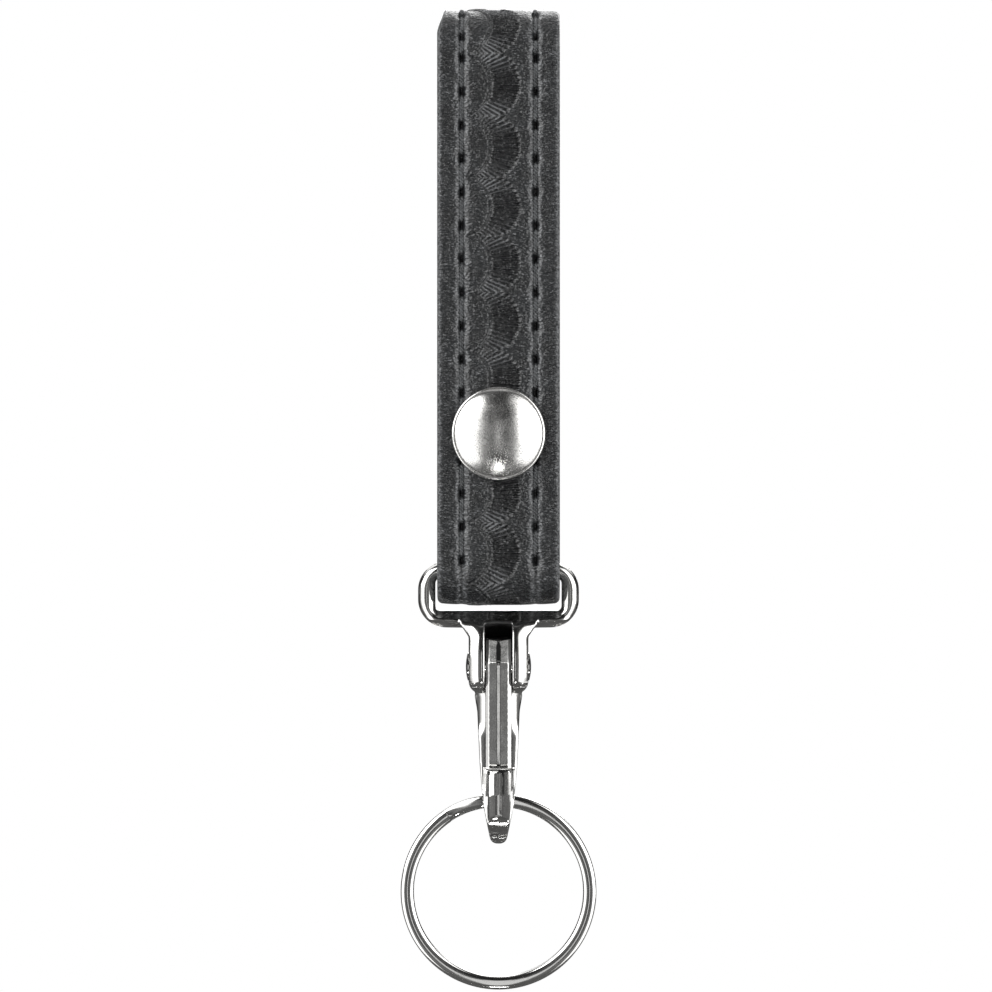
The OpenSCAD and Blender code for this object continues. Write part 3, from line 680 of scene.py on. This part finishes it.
# Grain of the hide: fine pebbles and short creases that run across the strap, on a surface in mm
grain, takes, gives = new_group("hide_grain", [("Surface", "NodeSocketVector")], ["Height", "Tone"])
surface = takes.outputs["Surface"]
creases = noise(grain, scaled(grain, surface, (1.0, 2.5, 1)), 1.0, 2.0, 0.6)
pebbles = add_node(grain, "TexVoronoi", Vector=scaled(grain, surface, (2.4, 3.6, 1)), Scale=1.0)
pebbles.feature = "SMOOTH_F1"
pores = noise(grain, surface, 7.0, 2.0, 0.6)
mixed = plus(grain, mult(grain, creases, 1.6),
             mult(grain, pebbles.outputs["Distance"], -1.5))
wire(grain, plus(grain, mixed, mult(grain, pores, 0.4)), gives.inputs["Height"])
wire(grain, noise(grain, surface, 0.23, 4.0, 0.6), gives.inputs["Tone"])


def value_of(tree, name):
    made = add_node(tree, "Attribute")
    made.attribute_name = name
    return made.outputs["Fac"]


def surface_of(tree, name):
    """The piece's own UV map, turned back into millimetres."""
    made = add_node(tree, "UVMap")
    made.uv_map = name
    return scaled(tree, made.outputs[0], (map_side, map_side, 1), (-map_side / 2, -map_side / 2, 0))


black_leather, grey_leather = (0.0028, 0.0031, 0.0037), (0.0075, 0.0085, 0.01)
# The light grey is a painted highlight colour that also serves for worn edges; the deepest black is
# painted shade.
shade_black, highlight_and_wear_grey = (0.0012, 0.0012, 0.0015), (0.16, 0.165, 0.172)
grain_h, line_h = 0.11, 0.02


def leather_material(name, stamped_face):
    """Black leather with painted glints in light grey on its high grain and angled fan lines, edges
    rubbed grey with a painted highlight, the same painted highlight on the stitch banks, and
    painted shade in deep black in its slits and fans.
    """
    made, tree, shader = new_material(name)
    hide = use_group(tree, grain, Surface=surface_of(tree, "hide"))
    high, tone = hide.outputs["Height"], hide.outputs["Tone"]
    colour = blend_colours(tree, ramp(tree, tone, 0.32, 0.68), black_leather, grey_leather)
    # Painted glints: the high spots of the grain are coloured light grey in place of the light they
    # would catch.
    glint_spots = mult(tree, ramp(tree, high, 0.6, 0.95),
                      ramp(tree, tone, 0.4, 0.6, 0.12, 0.8))
    # Edge wear and painted highlight: the rubbed edges and the stitch banks turn light grey where
    # the grain stands high.
    rub_and_glint = mult(tree, value_of(tree, "rub_and_glint"), ramp(tree, high, 0.15, 0.8, 0.1, 1.0))
    # Painted shade: the stitch slits are coloured deep black where shade falls into them.
    slit_shade = ramp(tree, value_of(tree, "slit_shade"), 0.35, 0.8)
    for share, shade in ((glint_spots, highlight_and_wear_grey), (rub_and_glint, highlight_and_wear_grey), (slit_shade, shade_black)):
        colour = blend_colours(tree, share, colour, shade)
    height = mult(tree, high, grain_h)
    if stamped_face:
        in_fan = value_of(tree, "fan")
        # Painted shade: the recessed fans are darkened towards deep black.
        colour = blend_colours(tree, mult(tree, in_fan, 0.7), colour, shade_black)
        stamp = add_node(tree, "SeparateXYZ", Vector=surface_of(tree, "stamp"))
        from_root = calc(tree, "SUBTRACT", stamp.outputs[0], fan_root)
        turn = calc(tree, "ARCTAN2", stamp.outputs[1], from_root)
        wave = calc(tree, "COSINE", mult(tree, turn, 2 * math.pi / fan_angle))
        lines = mult(tree, ramp(tree, wave, -0.2, 0.9), in_fan)
        height = plus(tree, height, mult(tree, lines, line_h))
        turned = calc(tree, "ABSOLUTE", turn)
        # Painted glints: fan ridges that run at an angle are coloured light grey in place of the
        # light they would catch.
        glinting_line = mult(tree, lines, ramp(tree, turned, 0.15, 0.55),
                         ramp(tree, turned, 0.6, 0.8, 1.0, 0.3),
                         ramp(tree, tone, 0.42, 0.58, 0.25, 1.0))
        colour = blend_colours(tree, glinting_line, colour, highlight_and_wear_grey)
    finish_shader(tree, shader, colour, ramp(tree, high, 0.3, 0.9, 0.31, 0.21), height)
    shader.inputs["Specular IOR Level"].default_value = 0.65
    return made


bridle_leather = leather_material("bridle_leather", True)
tooled.data.materials.append(bridle_leather)
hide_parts("front_leather", "flap_leather")
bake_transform(tooled)


# Tail: the end of the same strap, which goes on from under the eye's bar and up behind the front,
# where the snap's post holds it. It meets the tooled strip in a seam under the lower fold.
tail_rise = 28.75
tail_corner_r = 2.0
tail_row_step = 0.3
bend_r = 12.0
tail_mid = tail_face - half_t
fold_back = fold_y + fold_mid_r
tail_bend = math.acos(1 - (fold_back - tail_mid) / (2 * bend_r))
bend_low_y, bend_top_y = fold_back - bend_r, tail_mid + bend_r
bend_top_z = fold_z + 2 * bend_r * math.sin(tail_bend)
bend_start = front_start
bend_middle = bend_start + bend_r * tail_bend
tail_straight = bend_middle + bend_r * tail_bend
tail_end = tail_straight + fold_z + tail_rise - bend_top_z
tail_holes = tail_straight + stitch_pitch * (np.arange(3) + 0.5)


def tail_strip(name, step, *ply):
    """The tail of one ply."""
    piece = ply_profile(name, *ply)
    turn_strip(-math.pi / 2, fold_y, fold_z, fold_out_r, step)
    turn_strip(-tail_bend, bend_low_y, fold_z, bend_r, step)
    turn_strip(tail_bend, bend_top_y, bend_top_z, bend_r, step)
    straight = run_strip(tail_end - tail_straight - tail_corner_r, step)
    end_run = run_strip(tail_corner_r - end_round, step)
    last_run = run_strip(end_round, step)
    fill_rows(piece, (straight, end_run), step)
    fill_rows(piece, (last_run,), end_step)
    seal_seam(piece)
    trim_end(piece, on_tail(coords(piece))[0], tail_end, tail_corner_r,
             lambda far: bend_top_z + far - tail_straight, tail_mid, *ply[:2])
    return piece


def on_tail(spots):
    """As on_strip, for points of the tail."""
    y, z = spots[:, 1], spots[:, 2]
    fold_far = np.hypot(y - fold_y, z - fold_z)
    low_far = np.hypot(y - bend_low_y, z - fold_z)
    top_far = np.hypot(y - bend_top_y, z - bend_top_z)
    low_turn = np.arctan2(z - fold_z, y - bend_low_y)
    top_turn = np.arctan2(bend_top_z - z, bend_top_y - y)
    zones = [z < fold_z, low_turn < tail_bend, z < bend_top_z]
    along = np.select(zones, [np.arctan2(y - fold_y, fold_z - z) * fold_out_r,
                              bend_start + low_turn * bend_r,
                              tail_straight - top_turn * bend_r], tail_straight + z - bend_top_z)
    out_y = np.select(zones, [(y - fold_y) / fold_far, (y - bend_low_y) / low_far,
                              (bend_top_y - y) / top_far], 1.0)
    out_z = np.select(zones, [(z - fold_z) / fold_far, (z - fold_z) / low_far,
                              (bend_top_z - z) / top_far], 0.0)
    high = np.select(zones, [fold_far - fold_mid_r, low_far - bend_r, bend_r - top_far],
                     y - tail_mid)
    return along, out_y, out_z, high


def from_tail(along, high):
    """As from_strip, for the tail."""
    fold_a = along / fold_out_r
    low_a = (along - bend_start) / bend_r
    top_a = (tail_straight - along) / bend_r
    zones = [along < bend_start, along < bend_middle, along < tail_straight]
    y = np.select(zones, [fold_y + (fold_mid_r + high) * np.sin(fold_a),
                          bend_low_y + (bend_r + high) * np.cos(low_a),
                          bend_top_y - (bend_r - high) * np.cos(top_a)], tail_mid + high)
    z = np.select(zones, [fold_z - (fold_mid_r + high) * np.cos(fold_a),
                          fold_z + (bend_r + high) * np.sin(low_a),
                          bend_top_z - (bend_r - high) * np.sin(top_a)],
                  bend_top_z + along - tail_straight)
    return y, z


tail = tail_strip("strap_tail", tail_row_step, half_t, ply_line, 0.75, 0.25, 48, 0)
finish_ply(tail, on_tail, half_t, tail_holes)
plain_leather = leather_material("plain_leather", False)
tail.data.materials.append(plain_leather)
sag(tail)
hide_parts("front_leather")
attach(tail, "strap")


# Lining: the thinner ply of smooth black leather glued and stitched behind the tooled one, in a
# long piece from the lower fold to the flap's end and a tail piece, with its free corners rubbed
# round.
lining_step = 0.4
lining_ply = (ply_line, -half_t, 0.25, 0.6, 0, 40)
lining = main_strip("strap_lining", lining_step, *lining_ply)
finish_ply(lining, on_strip, -half_t, strip_holes, 0.5)
pull_corner(lining)
tail_lining = tail_strip("tail_lining", lining_step, *lining_ply)
finish_ply(tail_lining, on_tail, -half_t, tail_holes, 0.5)
sag(lining, tail_lining)
lining_leather = leather_material("lining_leather", False)
for piece in (lining, tail_lining):
    piece.data.materials.append(lining_leather)
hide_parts("front_lining", "flap_lining")
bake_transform(lining)
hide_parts("front_lining")
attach(tail_lining, "strap")


# Stitching: waxed black thread of two twisted strands, sewn in lockstitch along both edges. It
# lies in its crease and dives into a slit at each hole, on the face and on the lining.
strand_r = 0.19
strand_from_middle = 0.17
thread_lay = 1.15
thread_flat = 0.72
stitch_depth = 0.42
inner_stitch_depth = 0.4
dive = 1.15
strand_sides = 8
lay_steps = 9


def wind(piece, axis, sides, turns, steps, offset, angle=2 * math.pi):
    """Winds closed outlines about an axis, with an offset each turn, and caps their ends."""
    winding = piece.modifiers.new("winding", "SCREW")
    winding.axis, winding.angle, winding.screw_offset = axis, angle, offset * mm
    winding.iterations, winding.steps, winding.render_steps = turns, steps, steps
    winding.use_smooth_shade = True
    bpy.ops.object.modifier_apply(modifier=winding.name)
    edit_all()
    bpy.ops.mesh.fill_holes(sides=sides)
    face_outwards()


def twisted_cord(name, length):
    """A straight two-strand thread along X, a whole number of turns long."""
    deselect()
    bpy.ops.mesh.primitive_circle_add(vertices=strand_sides, radius=strand_r * mm,
                                      rotation=(0, math.pi / 2, 0),
                                      location=(0, strand_from_middle * mm, 0))
    cord = settle(name)
    edit_all()
    bpy.ops.mesh.duplicate()
    bpy.ops.transform.rotate(value=math.pi, orient_axis="X", center_override=(0, 0, 0))
    set_mode("OBJECT")
    wind(cord, "X", strand_sides, round(length / thread_lay), lay_steps, thread_lay)
    return cord


def sew(name, x, place, turn, level, depth, holes):
    """Lays a thread along one row: turn is 1 where outwards is left of the way, seen from +X."""
    along = np.arange(holes[0] - 0.4, holes[-1] + 0.4, 0.04)
    sink = depth + dive * (1 - smooth(near_hole(along, holes), 0.45, 1.3))
    sink += 0.08 * np.cos(2 * math.pi * near_hole(along, holes) / stitch_pitch)
    side = 1 if level > 0 else -1
    y, z = place(along, level - side * sink)
    dy, dz = np.gradient(y), np.gradient(z)
    far = np.hypot(dy, dz)
    gone = np.concatenate([[0], np.cumsum(np.hypot(np.diff(y), np.diff(z)))])
    cord = twisted_cord(name, gone[-1])
    spots = coords(cord)
    s = spots[:, 0] * gone[-1] / spots[:, 0].max()
    rise = spots[:, 2] * thread_flat
    out_y = np.interp(s, gone, -turn * dz / far)
    out_z = np.interp(s, gone, turn * dy / far)
    set_coords(cord, np.stack([x + spots[:, 1], np.interp(s, gone, y) + rise * out_y,
                               np.interp(s, gone, z) + rise * out_z], 1))
    return cord


def select_only(*pieces):
    deselect()
    for piece in pieces:
        piece.select_set(True)
    bpy.context.view_layer.objects.active = pieces[0]


def join(name, pieces):
    select_only(*pieces)
    bpy.ops.object.join()
    pieces[0].name = pieces[0].data.name = name
    return pieces[0]


made, tree, shader = new_material("waxed_thread")
spot = add_node(tree, "TexCoord").outputs["Object"]
fibres = noise(tree, scaled(tree, spot, (9000, 9000, 2500)), 1.0, 2.0, 0.6)
wax = noise(tree, spot, 900.0, 2.0, 0.5)
tone = plus(tree, mult(tree, fibres, 0.6), mult(tree, wax, 0.4))
black_thread, grey_thread = (0.02, 0.021, 0.022), (0.11, 0.115, 0.12)
colour = blend_colours(tree, ramp(tree, tone, 0.36, 0.62), black_thread, grey_thread)
finish_shader(tree, shader, colour, 0.42, fibres, 0.03 * mm)
for side, side_name in ((-1, "left"), (1, "right")):
    joined = []
    for part, place, way, holes in (("_thread", from_strip, 1, strip_holes),
                                    ("_tail_thread", from_tail, -1, tail_holes)):
        rows = [sew("row", side * row_x, place, way, level, depth, holes)
                for level, depth in ((half_t, stitch_depth), (-half_t, inner_stitch_depth))]
        joined.append(join(side_name + part, rows))
    sag(*joined)
    for piece in joined:
        piece.data.materials.append(made)
    long_row, tail_row = joined
    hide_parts(side_name + "_stitching", "flap_" + side_name + "_stitching")
    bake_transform(long_row)
    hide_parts(side_name + "_stitching")
    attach(tail_row, "strap")


# Snap fastener: pressed brass in satin nickel. The domed cap is rolled over at its rim and
# clenched by its post to the socket on the tail; a domed rivet holds the stud on the flap.
cap_low, cap_high = (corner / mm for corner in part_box("snap_cap"))
rivet_low, rivet_high = (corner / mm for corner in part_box("stud_rivet"))
snap_z = (cap_low.z + cap_high.z) / 2
cap_r, cap_rim_h, cap_sink = cap_high.x, 0.9, 0.03
bead_r = 0.37
rivet_r = (rivet_high.z - rivet_low.z) / 2
rivet_h = 0.9


def lathe(name, profile, z, sides=160):
    """A piece turned about a line along Y, from pairs of radius and Y that end on the axis."""
    deselect()
    (r, y), *_ = profile
    bpy.ops.mesh.primitive_plane_add(size=0.01 * mm, location=(r * mm, y * mm, z * mm))
    piece = settle(name)
    edit_all()
    bpy.ops.mesh.select_mode(type="VERT")
    bpy.ops.mesh.merge(type="CENTER")
    for (r, y), (next_r, next_y) in zip(profile, profile[1:]):
        step = ((next_r - r) * mm, (next_y - y) * mm, 0)
        bpy.ops.mesh.extrude_region_move(TRANSFORM_OT_translate={"value": step})
    select_mesh()
    bpy.ops.mesh.spin(steps=sides, angle=2 * math.pi, center=(0, 0, z * mm), axis=(0, 1, 0))
    select_mesh()
    bpy.ops.mesh.remove_doubles(threshold=0.001 * mm)
    face_outwards()
    bpy.ops.object.shade_smooth_by_angle(angle=math.radians(32))
    return piece


def dome(r, h, top, way, reach, steps):
    """Profile of a dome with radius r and height h, from the axis out to reach."""
    ball = (r * r + h * h) / (2 * h)
    return [(x, top + way * (ball - math.sqrt(ball * ball - x * x)))
            for x in np.linspace(0, reach, steps)]


front_y = leather_low.y
bead_at = (cap_r - bead_r, front_y - cap_rim_h + bead_r + 0.03)
bead = [(bead_at[0] + bead_r * math.cos(a), bead_at[1] - bead_r * math.sin(a))
        for a in np.radians(np.arange(105, -61, -15))]
cap_profile = dome(cap_r, front_y - cap_rim_h - cap_low.y, cap_low.y, 1, cap_r - 0.6, 28)
cap_profile += [(cap_r - 0.5, cap_profile[-1][1] + 0.1), (cap_r - 0.47, bead[0][1] + 0.04)] + bead
cap_profile += [(cap_r - 0.25, front_y), (cap_r - 0.6, front_y + cap_sink), (0, front_y + cap_sink)]
cap = lathe("cap", cap_profile, snap_z)
back_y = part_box("flap_leather")[1].y / mm
rivet_profile = dome(rivet_r, rivet_h - 0.25, rivet_high.y, -1, rivet_r - 0.12, 18)
rivet_profile += [(rivet_r - 0.03, back_y + 0.2), (rivet_r, back_y + 0.1), (rivet_r - 0.05, back_y),
                  (rivet_r - 0.3, back_y - cap_sink), (0, back_y - cap_sink)]
rivet = lathe("rivet_head", rivet_profile, snap_z, 96)

# Wear of plated metal, on places in millimetres: cloudy unevenness, fine speckle and hair scratches
wear, takes, gives = new_group("plated_wear", [("Spot", "NodeSocketVector")],
                               ["Cloud", "Speckle", "Scratch"])
spot = takes.outputs["Spot"]
wire(wear, noise(wear, spot, 0.42, 3.0, 0.55), gives.inputs["Cloud"])
wire(wear, noise(wear, spot, 5.5, 2.0, 0.7), gives.inputs["Speckle"])
hairs = noise(wear, scaled(wear, spot, (7.0, 7.0, 0.5)), 1.0, 2.0, 0.7)
wire(wear, ramp(wear, hairs, 0.6, 0.72), gives.inputs["Scratch"])
# Dark grey for the as-cast slot, darker than the metal itself as painted shade in the recess.
shaded_raw_metal = (0.13, 0.13, 0.13)


def metal_material(name, colour, dull, rough, cloud_bump, speckle_bump, scratches):
    """Plated metal: dull is the colour in the speckle's pits, rough the lowest and highest
    roughness. Where a piece's slot value is 1, the metal is as cast and rougher, and its colour is
    darkened as painted shade."""
    made, tree, shader = new_material(name)
    spot = add_node(tree, "TexCoord").outputs["Object"]
    worn = use_group(tree, wear, Spot=scaled(tree, spot, (1000, 1000, 1000)))
    pits = ramp(tree, worn.outputs["Speckle"], 0.5, 0.35)
    # As cast and painted shade: inside the slot the roughness rises and the colour goes to dark
    # grey.
    raw_and_shaded = value_of(tree, "cast_and_shaded")
    plated = blend_colours(tree, pits, colour, dull)
    roughness = plus(tree, ramp(tree, worn.outputs["Cloud"], 0.3, 0.7, *rough),
                     mult(tree, worn.outputs["Scratch"], scratches),
                     mult(tree, raw_and_shaded, 0.25))
    height = plus(tree, mult(tree, worn.outputs["Cloud"], cloud_bump),
                  mult(tree, worn.outputs["Speckle"], speckle_bump))
    finish_shader(tree, shader, blend_colours(tree, raw_and_shaded, plated, shaded_raw_metal), roughness, height)
    shader.inputs["Metallic"].default_value = 1.0
    return made


def finish_nodes(material, *names):
    """Gives CAD nodes that are shown as they are this material."""
    for name in names:
        node = bpy.data.objects[name]
        if node.data.materials:
            for k in range(len(node.material_slots)):
                node.material_slots[k].material = material
        else:
            node.data.materials.append(material)


satin = metal_material("satin_nickel", (0.8, 0.79, 0.77), (0.36, 0.36, 0.35), (0.2, 0.28),
                       0.0, 0.008, 0.05)
spring_steel = metal_material("spring_steel", (0.5, 0.5, 0.5), (0.34, 0.34, 0.34), (0.25, 0.35),
                              0.0, 0.002, 0.1)
for piece, node, body in ((cap, "snap_cap", "strap"), (rivet, "stud_rivet", "flap")):
    piece.data.materials.append(satin)
    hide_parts(node)
    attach(piece, body)
finish_nodes(satin, "cap_post", "snap_socket", "snap_stud")
finish_nodes(spring_steel, "socket_spring", "trigger_spring")


# Hook: one zinc casting in polished nickel, with the eye, the two ears, the spine, the bend and the
# nose. Its edges are tumbled round before it is plated.
def soft_cast(node, name, grid, rounds, crest=None, shape=None, cores=()):
    """A copy of a CAD node, grown together with its cores, with its edges rounded as a tumbled
    casting's are. A flat is worn along the crest edges and shape models the surface, if given."""
    source = bpy.data.objects[node]
    piece = bpy.data.objects.new(name, source.data.copy())
    piece.data.name = name
    piece.data.materials.clear()
    scene.collection.objects.link(piece)
    select_only(piece)
    edit_all()
    bpy.ops.mesh.remove_doubles(threshold=0.001 * mm)
    if crest:
        pick(piece, "EDGE", crest)
        bpy.ops.mesh.bevel(offset=crest_flat / 2 * mm, segments=1)
    set_mode("OBJECT")
    if cores:
        join(name, [piece, *cores])
    piece.data.remesh_voxel_size = grid * mm
    bpy.ops.object.voxel_remesh()
    if shape:
        set_coords(piece, shape(coords(piece)))
    soften = piece.modifiers.new("soften", "SMOOTH")
    soften.factor, soften.iterations = 0.5, rounds
    bpy.ops.object.modifier_apply(modifier=soften.name)
    piece.data.shade_smooth()
    return piece


polished = metal_material("polished_nickel", (0.64, 0.635, 0.62), (0.5, 0.5, 0.49), (0.07, 0.15),
                          0.012, 0.0006, 0.12)
hook_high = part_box("hook_body")[1] / mm
bar_r, eye_h, eye_corner_r, eye_end_x = 1.4, 10.6, 4.6, 6.3
eye_z, eye_half_w = hook_high.z - eye_h / 2, hook_high.x
low_bar_z = hook_high.z - eye_h + bar_r
pin_low, pin_high = (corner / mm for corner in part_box("hinge_pin"))
pin_y, pin_z = (pin_low.y + pin_high.y) / 2, (pin_low.z + pin_high.z) / 2
pin_hole_r, drill_length = 1.2, 1.5
slot_half_w, spine_half_w, ears_half_w = 2.2, 3.75, 4.75
ear_z, ear_r, ear_corner_r = pin_z - 1.2, 3.1, 2.0
ears_top_z, ears_low_z = low_bar_z + 0.49, ear_z - ear_r
ears_h, cone_h, cone_slope, ears_swell = 9.27, 8.12, 0.398, 3.45
wall_mid_y, wall_half = 1.6, 1.5
# Where, in millimetres below the pin, the spine's crown ends and steps up and the slot ends
crown_end, crown_step, slot_end = (19.56, 15.56), (11.56, 8.56), (16.06, 15.06)


def drilled_core(middle_x, width, rounds):
    """A solid inside the casting: the hull of two rods across, with a hole for the pin."""
    rods = []
    for y, z, radius in rounds + [(pin_y, pin_z, pin_hole_r)]:
        deselect()
        bpy.ops.mesh.primitive_cylinder_add(
            vertices=96, radius=radius * mm, depth=width * mm,
            rotation=(0, math.pi / 2, 0), location=(middle_x * mm, y * mm, z * mm))
        rods.append(settle("rod"))
    core, drill = join("core", rods[:2]), rods[2]
    select_only(core)
    edit_all()
    bpy.ops.mesh.convex_hull()
    set_mode("OBJECT")
    drill.scale.x, drill.location.x = drill_length, (1 - drill_length) * middle_x * mm
    hole = core.modifiers.new("hole", "BOOLEAN")
    hole.operation, hole.object = "DIFFERENCE", drill
    bpy.ops.object.modifier_apply(modifier=hole.name)
    bpy.data.objects.remove(drill)
    return core


def model_hook(spots):
    """Rounds the eye's outer corners to the bar's section, and swells the ears and the spine."""
    aside, front, z = abs(spots[:, 0]), -spots[:, 1], spots[:, 2]
    below_pin = pin_z - z
    to_side = aside - eye_half_w + eye_corner_r
    to_end = abs(z - eye_z) - eye_h / 2 + eye_corner_r
    inside = eye_corner_r - np.hypot(np.maximum(to_side, 0), np.maximum(to_end, 0))
    inside -= np.minimum(np.maximum(to_side, to_end), 0)
    half = np.sqrt(np.clip(bar_r ** 2 - np.clip(bar_r - inside, 0, bar_r) ** 2, 0.01, None))
    round_y = fold_y + np.clip(spots[:, 1] - fold_y, -half, half)
    spots[:, 1] = np.where(aside > eye_end_x, round_y, spots[:, 1])
    on_ears = smooth(front, 0.5, 3) * smooth(z, ears_low_z - 0.76, ears_low_z + 0.74)
    on_ears *= z < ears_top_z
    drop = np.clip(ears_top_z - z, 0, ears_h)
    round_part = 0.35 + np.sqrt(np.maximum(ear_r ** 2 - (ears_h - drop) ** 2, 0))
    cast = np.where(drop < cone_h, cone_slope * drop, round_part)
    swell = ears_swell * (1 - (1 - drop / ears_h) ** 3) - cast
    crown = 0.25 * (aside - 2.7) ** 2 * smooth(z, ears_top_z - 0.6, ears_top_z - 3.6)
    on_spine = np.clip((front + 3.1) / 3, 0, 1) * smooth(below_pin, *crown_end)
    on_spine *= smooth(z, ears_low_z + 1.24, ears_low_z - 0.76)
    spine_crown = (0.1 + 0.25 * smooth(below_pin, *crown_step)) * np.clip(aside - 1.6, 0, 2) ** 2
    spots[:, 1] += on_ears * (crown - swell) + on_spine * spine_crown
    below = np.clip(ears_low_z + ear_corner_r - z, 0, ear_corner_r)
    widest = ears_half_w - ear_corner_r + np.sqrt(ear_corner_r ** 2 - below ** 2)
    narrowed = np.sign(spots[:, 0]) * np.minimum(aside, np.maximum(widest, spine_half_w))
    spots[:, 0] = np.where((z < ear_z) & (z > ears_low_z - 0.3), narrowed, spots[:, 0])
    return spots


bar_end, slot_top = (fold_y, low_bar_z, bar_r), (-0.25, low_bar_z - 2.3, 0.6)
ear_x, ear_w = (slot_half_w + ears_half_w) / 2, ears_half_w - slot_half_w
cores = [drilled_core(side * ear_x, ear_w, [bar_end, low_end]) for side in (-1, 1)
         for low_end in ((pin_y, ear_z, ear_r), (wall_mid_y, ear_z, wall_half))]
cores.append(drilled_core(0, 2 * slot_half_w + 0.4, [bar_end, slot_top]))
casting = soft_cast("hook_body", "hook_casting", 0.17, 10, shape=model_hook, cores=cores)
spots = coords(casting)
# The slot between the ears is as cast and rougher, and painted shade darkens its colour.
in_slot = 1 - smooth(abs(spots[:, 0]), slot_half_w, slot_half_w + 0.15)
in_slot *= 1 - smooth(spots[:, 1], 0.05, 0.35)
in_slot *= smooth(pin_z - spots[:, 2], *slot_end)
in_slot *= 1 - smooth(spots[:, 2], low_bar_z - 0.41, low_bar_z - 0.01)
give_values(casting, "cast_and_shaded", in_slot)
casting.data.materials.append(polished)
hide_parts("hook_body")
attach(casting, "hook")
finish_nodes(polished, "hinge_pin")


# Trigger: a second small casting in the same nickel, ridged along its middle with a chamfer on each
# side. It turns on the riveted pin and a coil spring pushes it to the nose.
trigger_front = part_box("trigger")[0].y / mm + 2.2
crest_flat = 0.6
lever = soft_cast("trigger", "trigger_lever", 0.09, 1, lambda at, along: (
    (abs(at[:, 0]) < 0.01) & (abs(along[:, 0]) < 0.01) & (at[:, 1] < trigger_front)))
lever.data.materials.append(polished)
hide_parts("trigger")
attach(lever, "trigger")


# Split ring: spring steel wire with a rounded flat section, wound in two turns that lie on each
# other and cross over at one place, in bright nickel.
ring_low, ring_high = (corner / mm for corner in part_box("split_ring"))
ring_z, ring_y = (ring_low.z + ring_high.z) / 2, (ring_low.y + ring_high.y) / 2
ring_r, wire_w, wire_t = ring_high.x, 2.1, 1.15
coil_step = (ring_high.y - ring_low.y) - wire_t
crossover_angle, crossover_span = 124, 26
section_sides, section_power = 36, 2.15
turn_steps = 200
half_winding = 360 - crossover_span / 2
lift = 12.0

deselect()
bpy.ops.mesh.primitive_circle_add(vertices=section_sides, radius=1 * mm)
ring = settle("ring_wire")
spots = coords(ring)
for axis, half in ((0, wire_w / 2), (1, wire_t / 2)):
    spots[:, axis] = np.sign(spots[:, axis]) * abs(spots[:, axis]) ** (2 / section_power) * half
spots[:, 0] += ring_r - wire_w / 2
set_coords(ring, spots)
wind(ring, "Y", section_sides, 2, turn_steps, lift, -math.radians(half_winding))
bpy.ops.object.shade_smooth_by_angle(angle=math.radians(40))
spots = coords(ring)
guess = spots[:, 1] / lift * half_winding
turned = np.degrees(np.arctan2(spots[:, 2], spots[:, 0]))
turned += 360 * np.round((guess - turned) / 360)
off_wire = spots[:, 1] - turned / half_winding * lift
coil_y = coil_step * (smooth(turned, 360 - crossover_span, 360) - 0.5)
far, at = np.hypot(spots[:, 0], spots[:, 2]), np.radians(crossover_angle + turned)
set_coords(ring, np.stack([far * np.cos(at), ring_y + coil_y + off_wire,
                           ring_z + far * np.sin(at)], 1))
bright = metal_material("ring_nickel", (0.68, 0.675, 0.66), (0.58, 0.58, 0.57), (0.06, 0.12),
                        0.003, 0.0004, 0.08)
ring.data.materials.append(bright)
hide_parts("split_ring")
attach(ring, "ring")
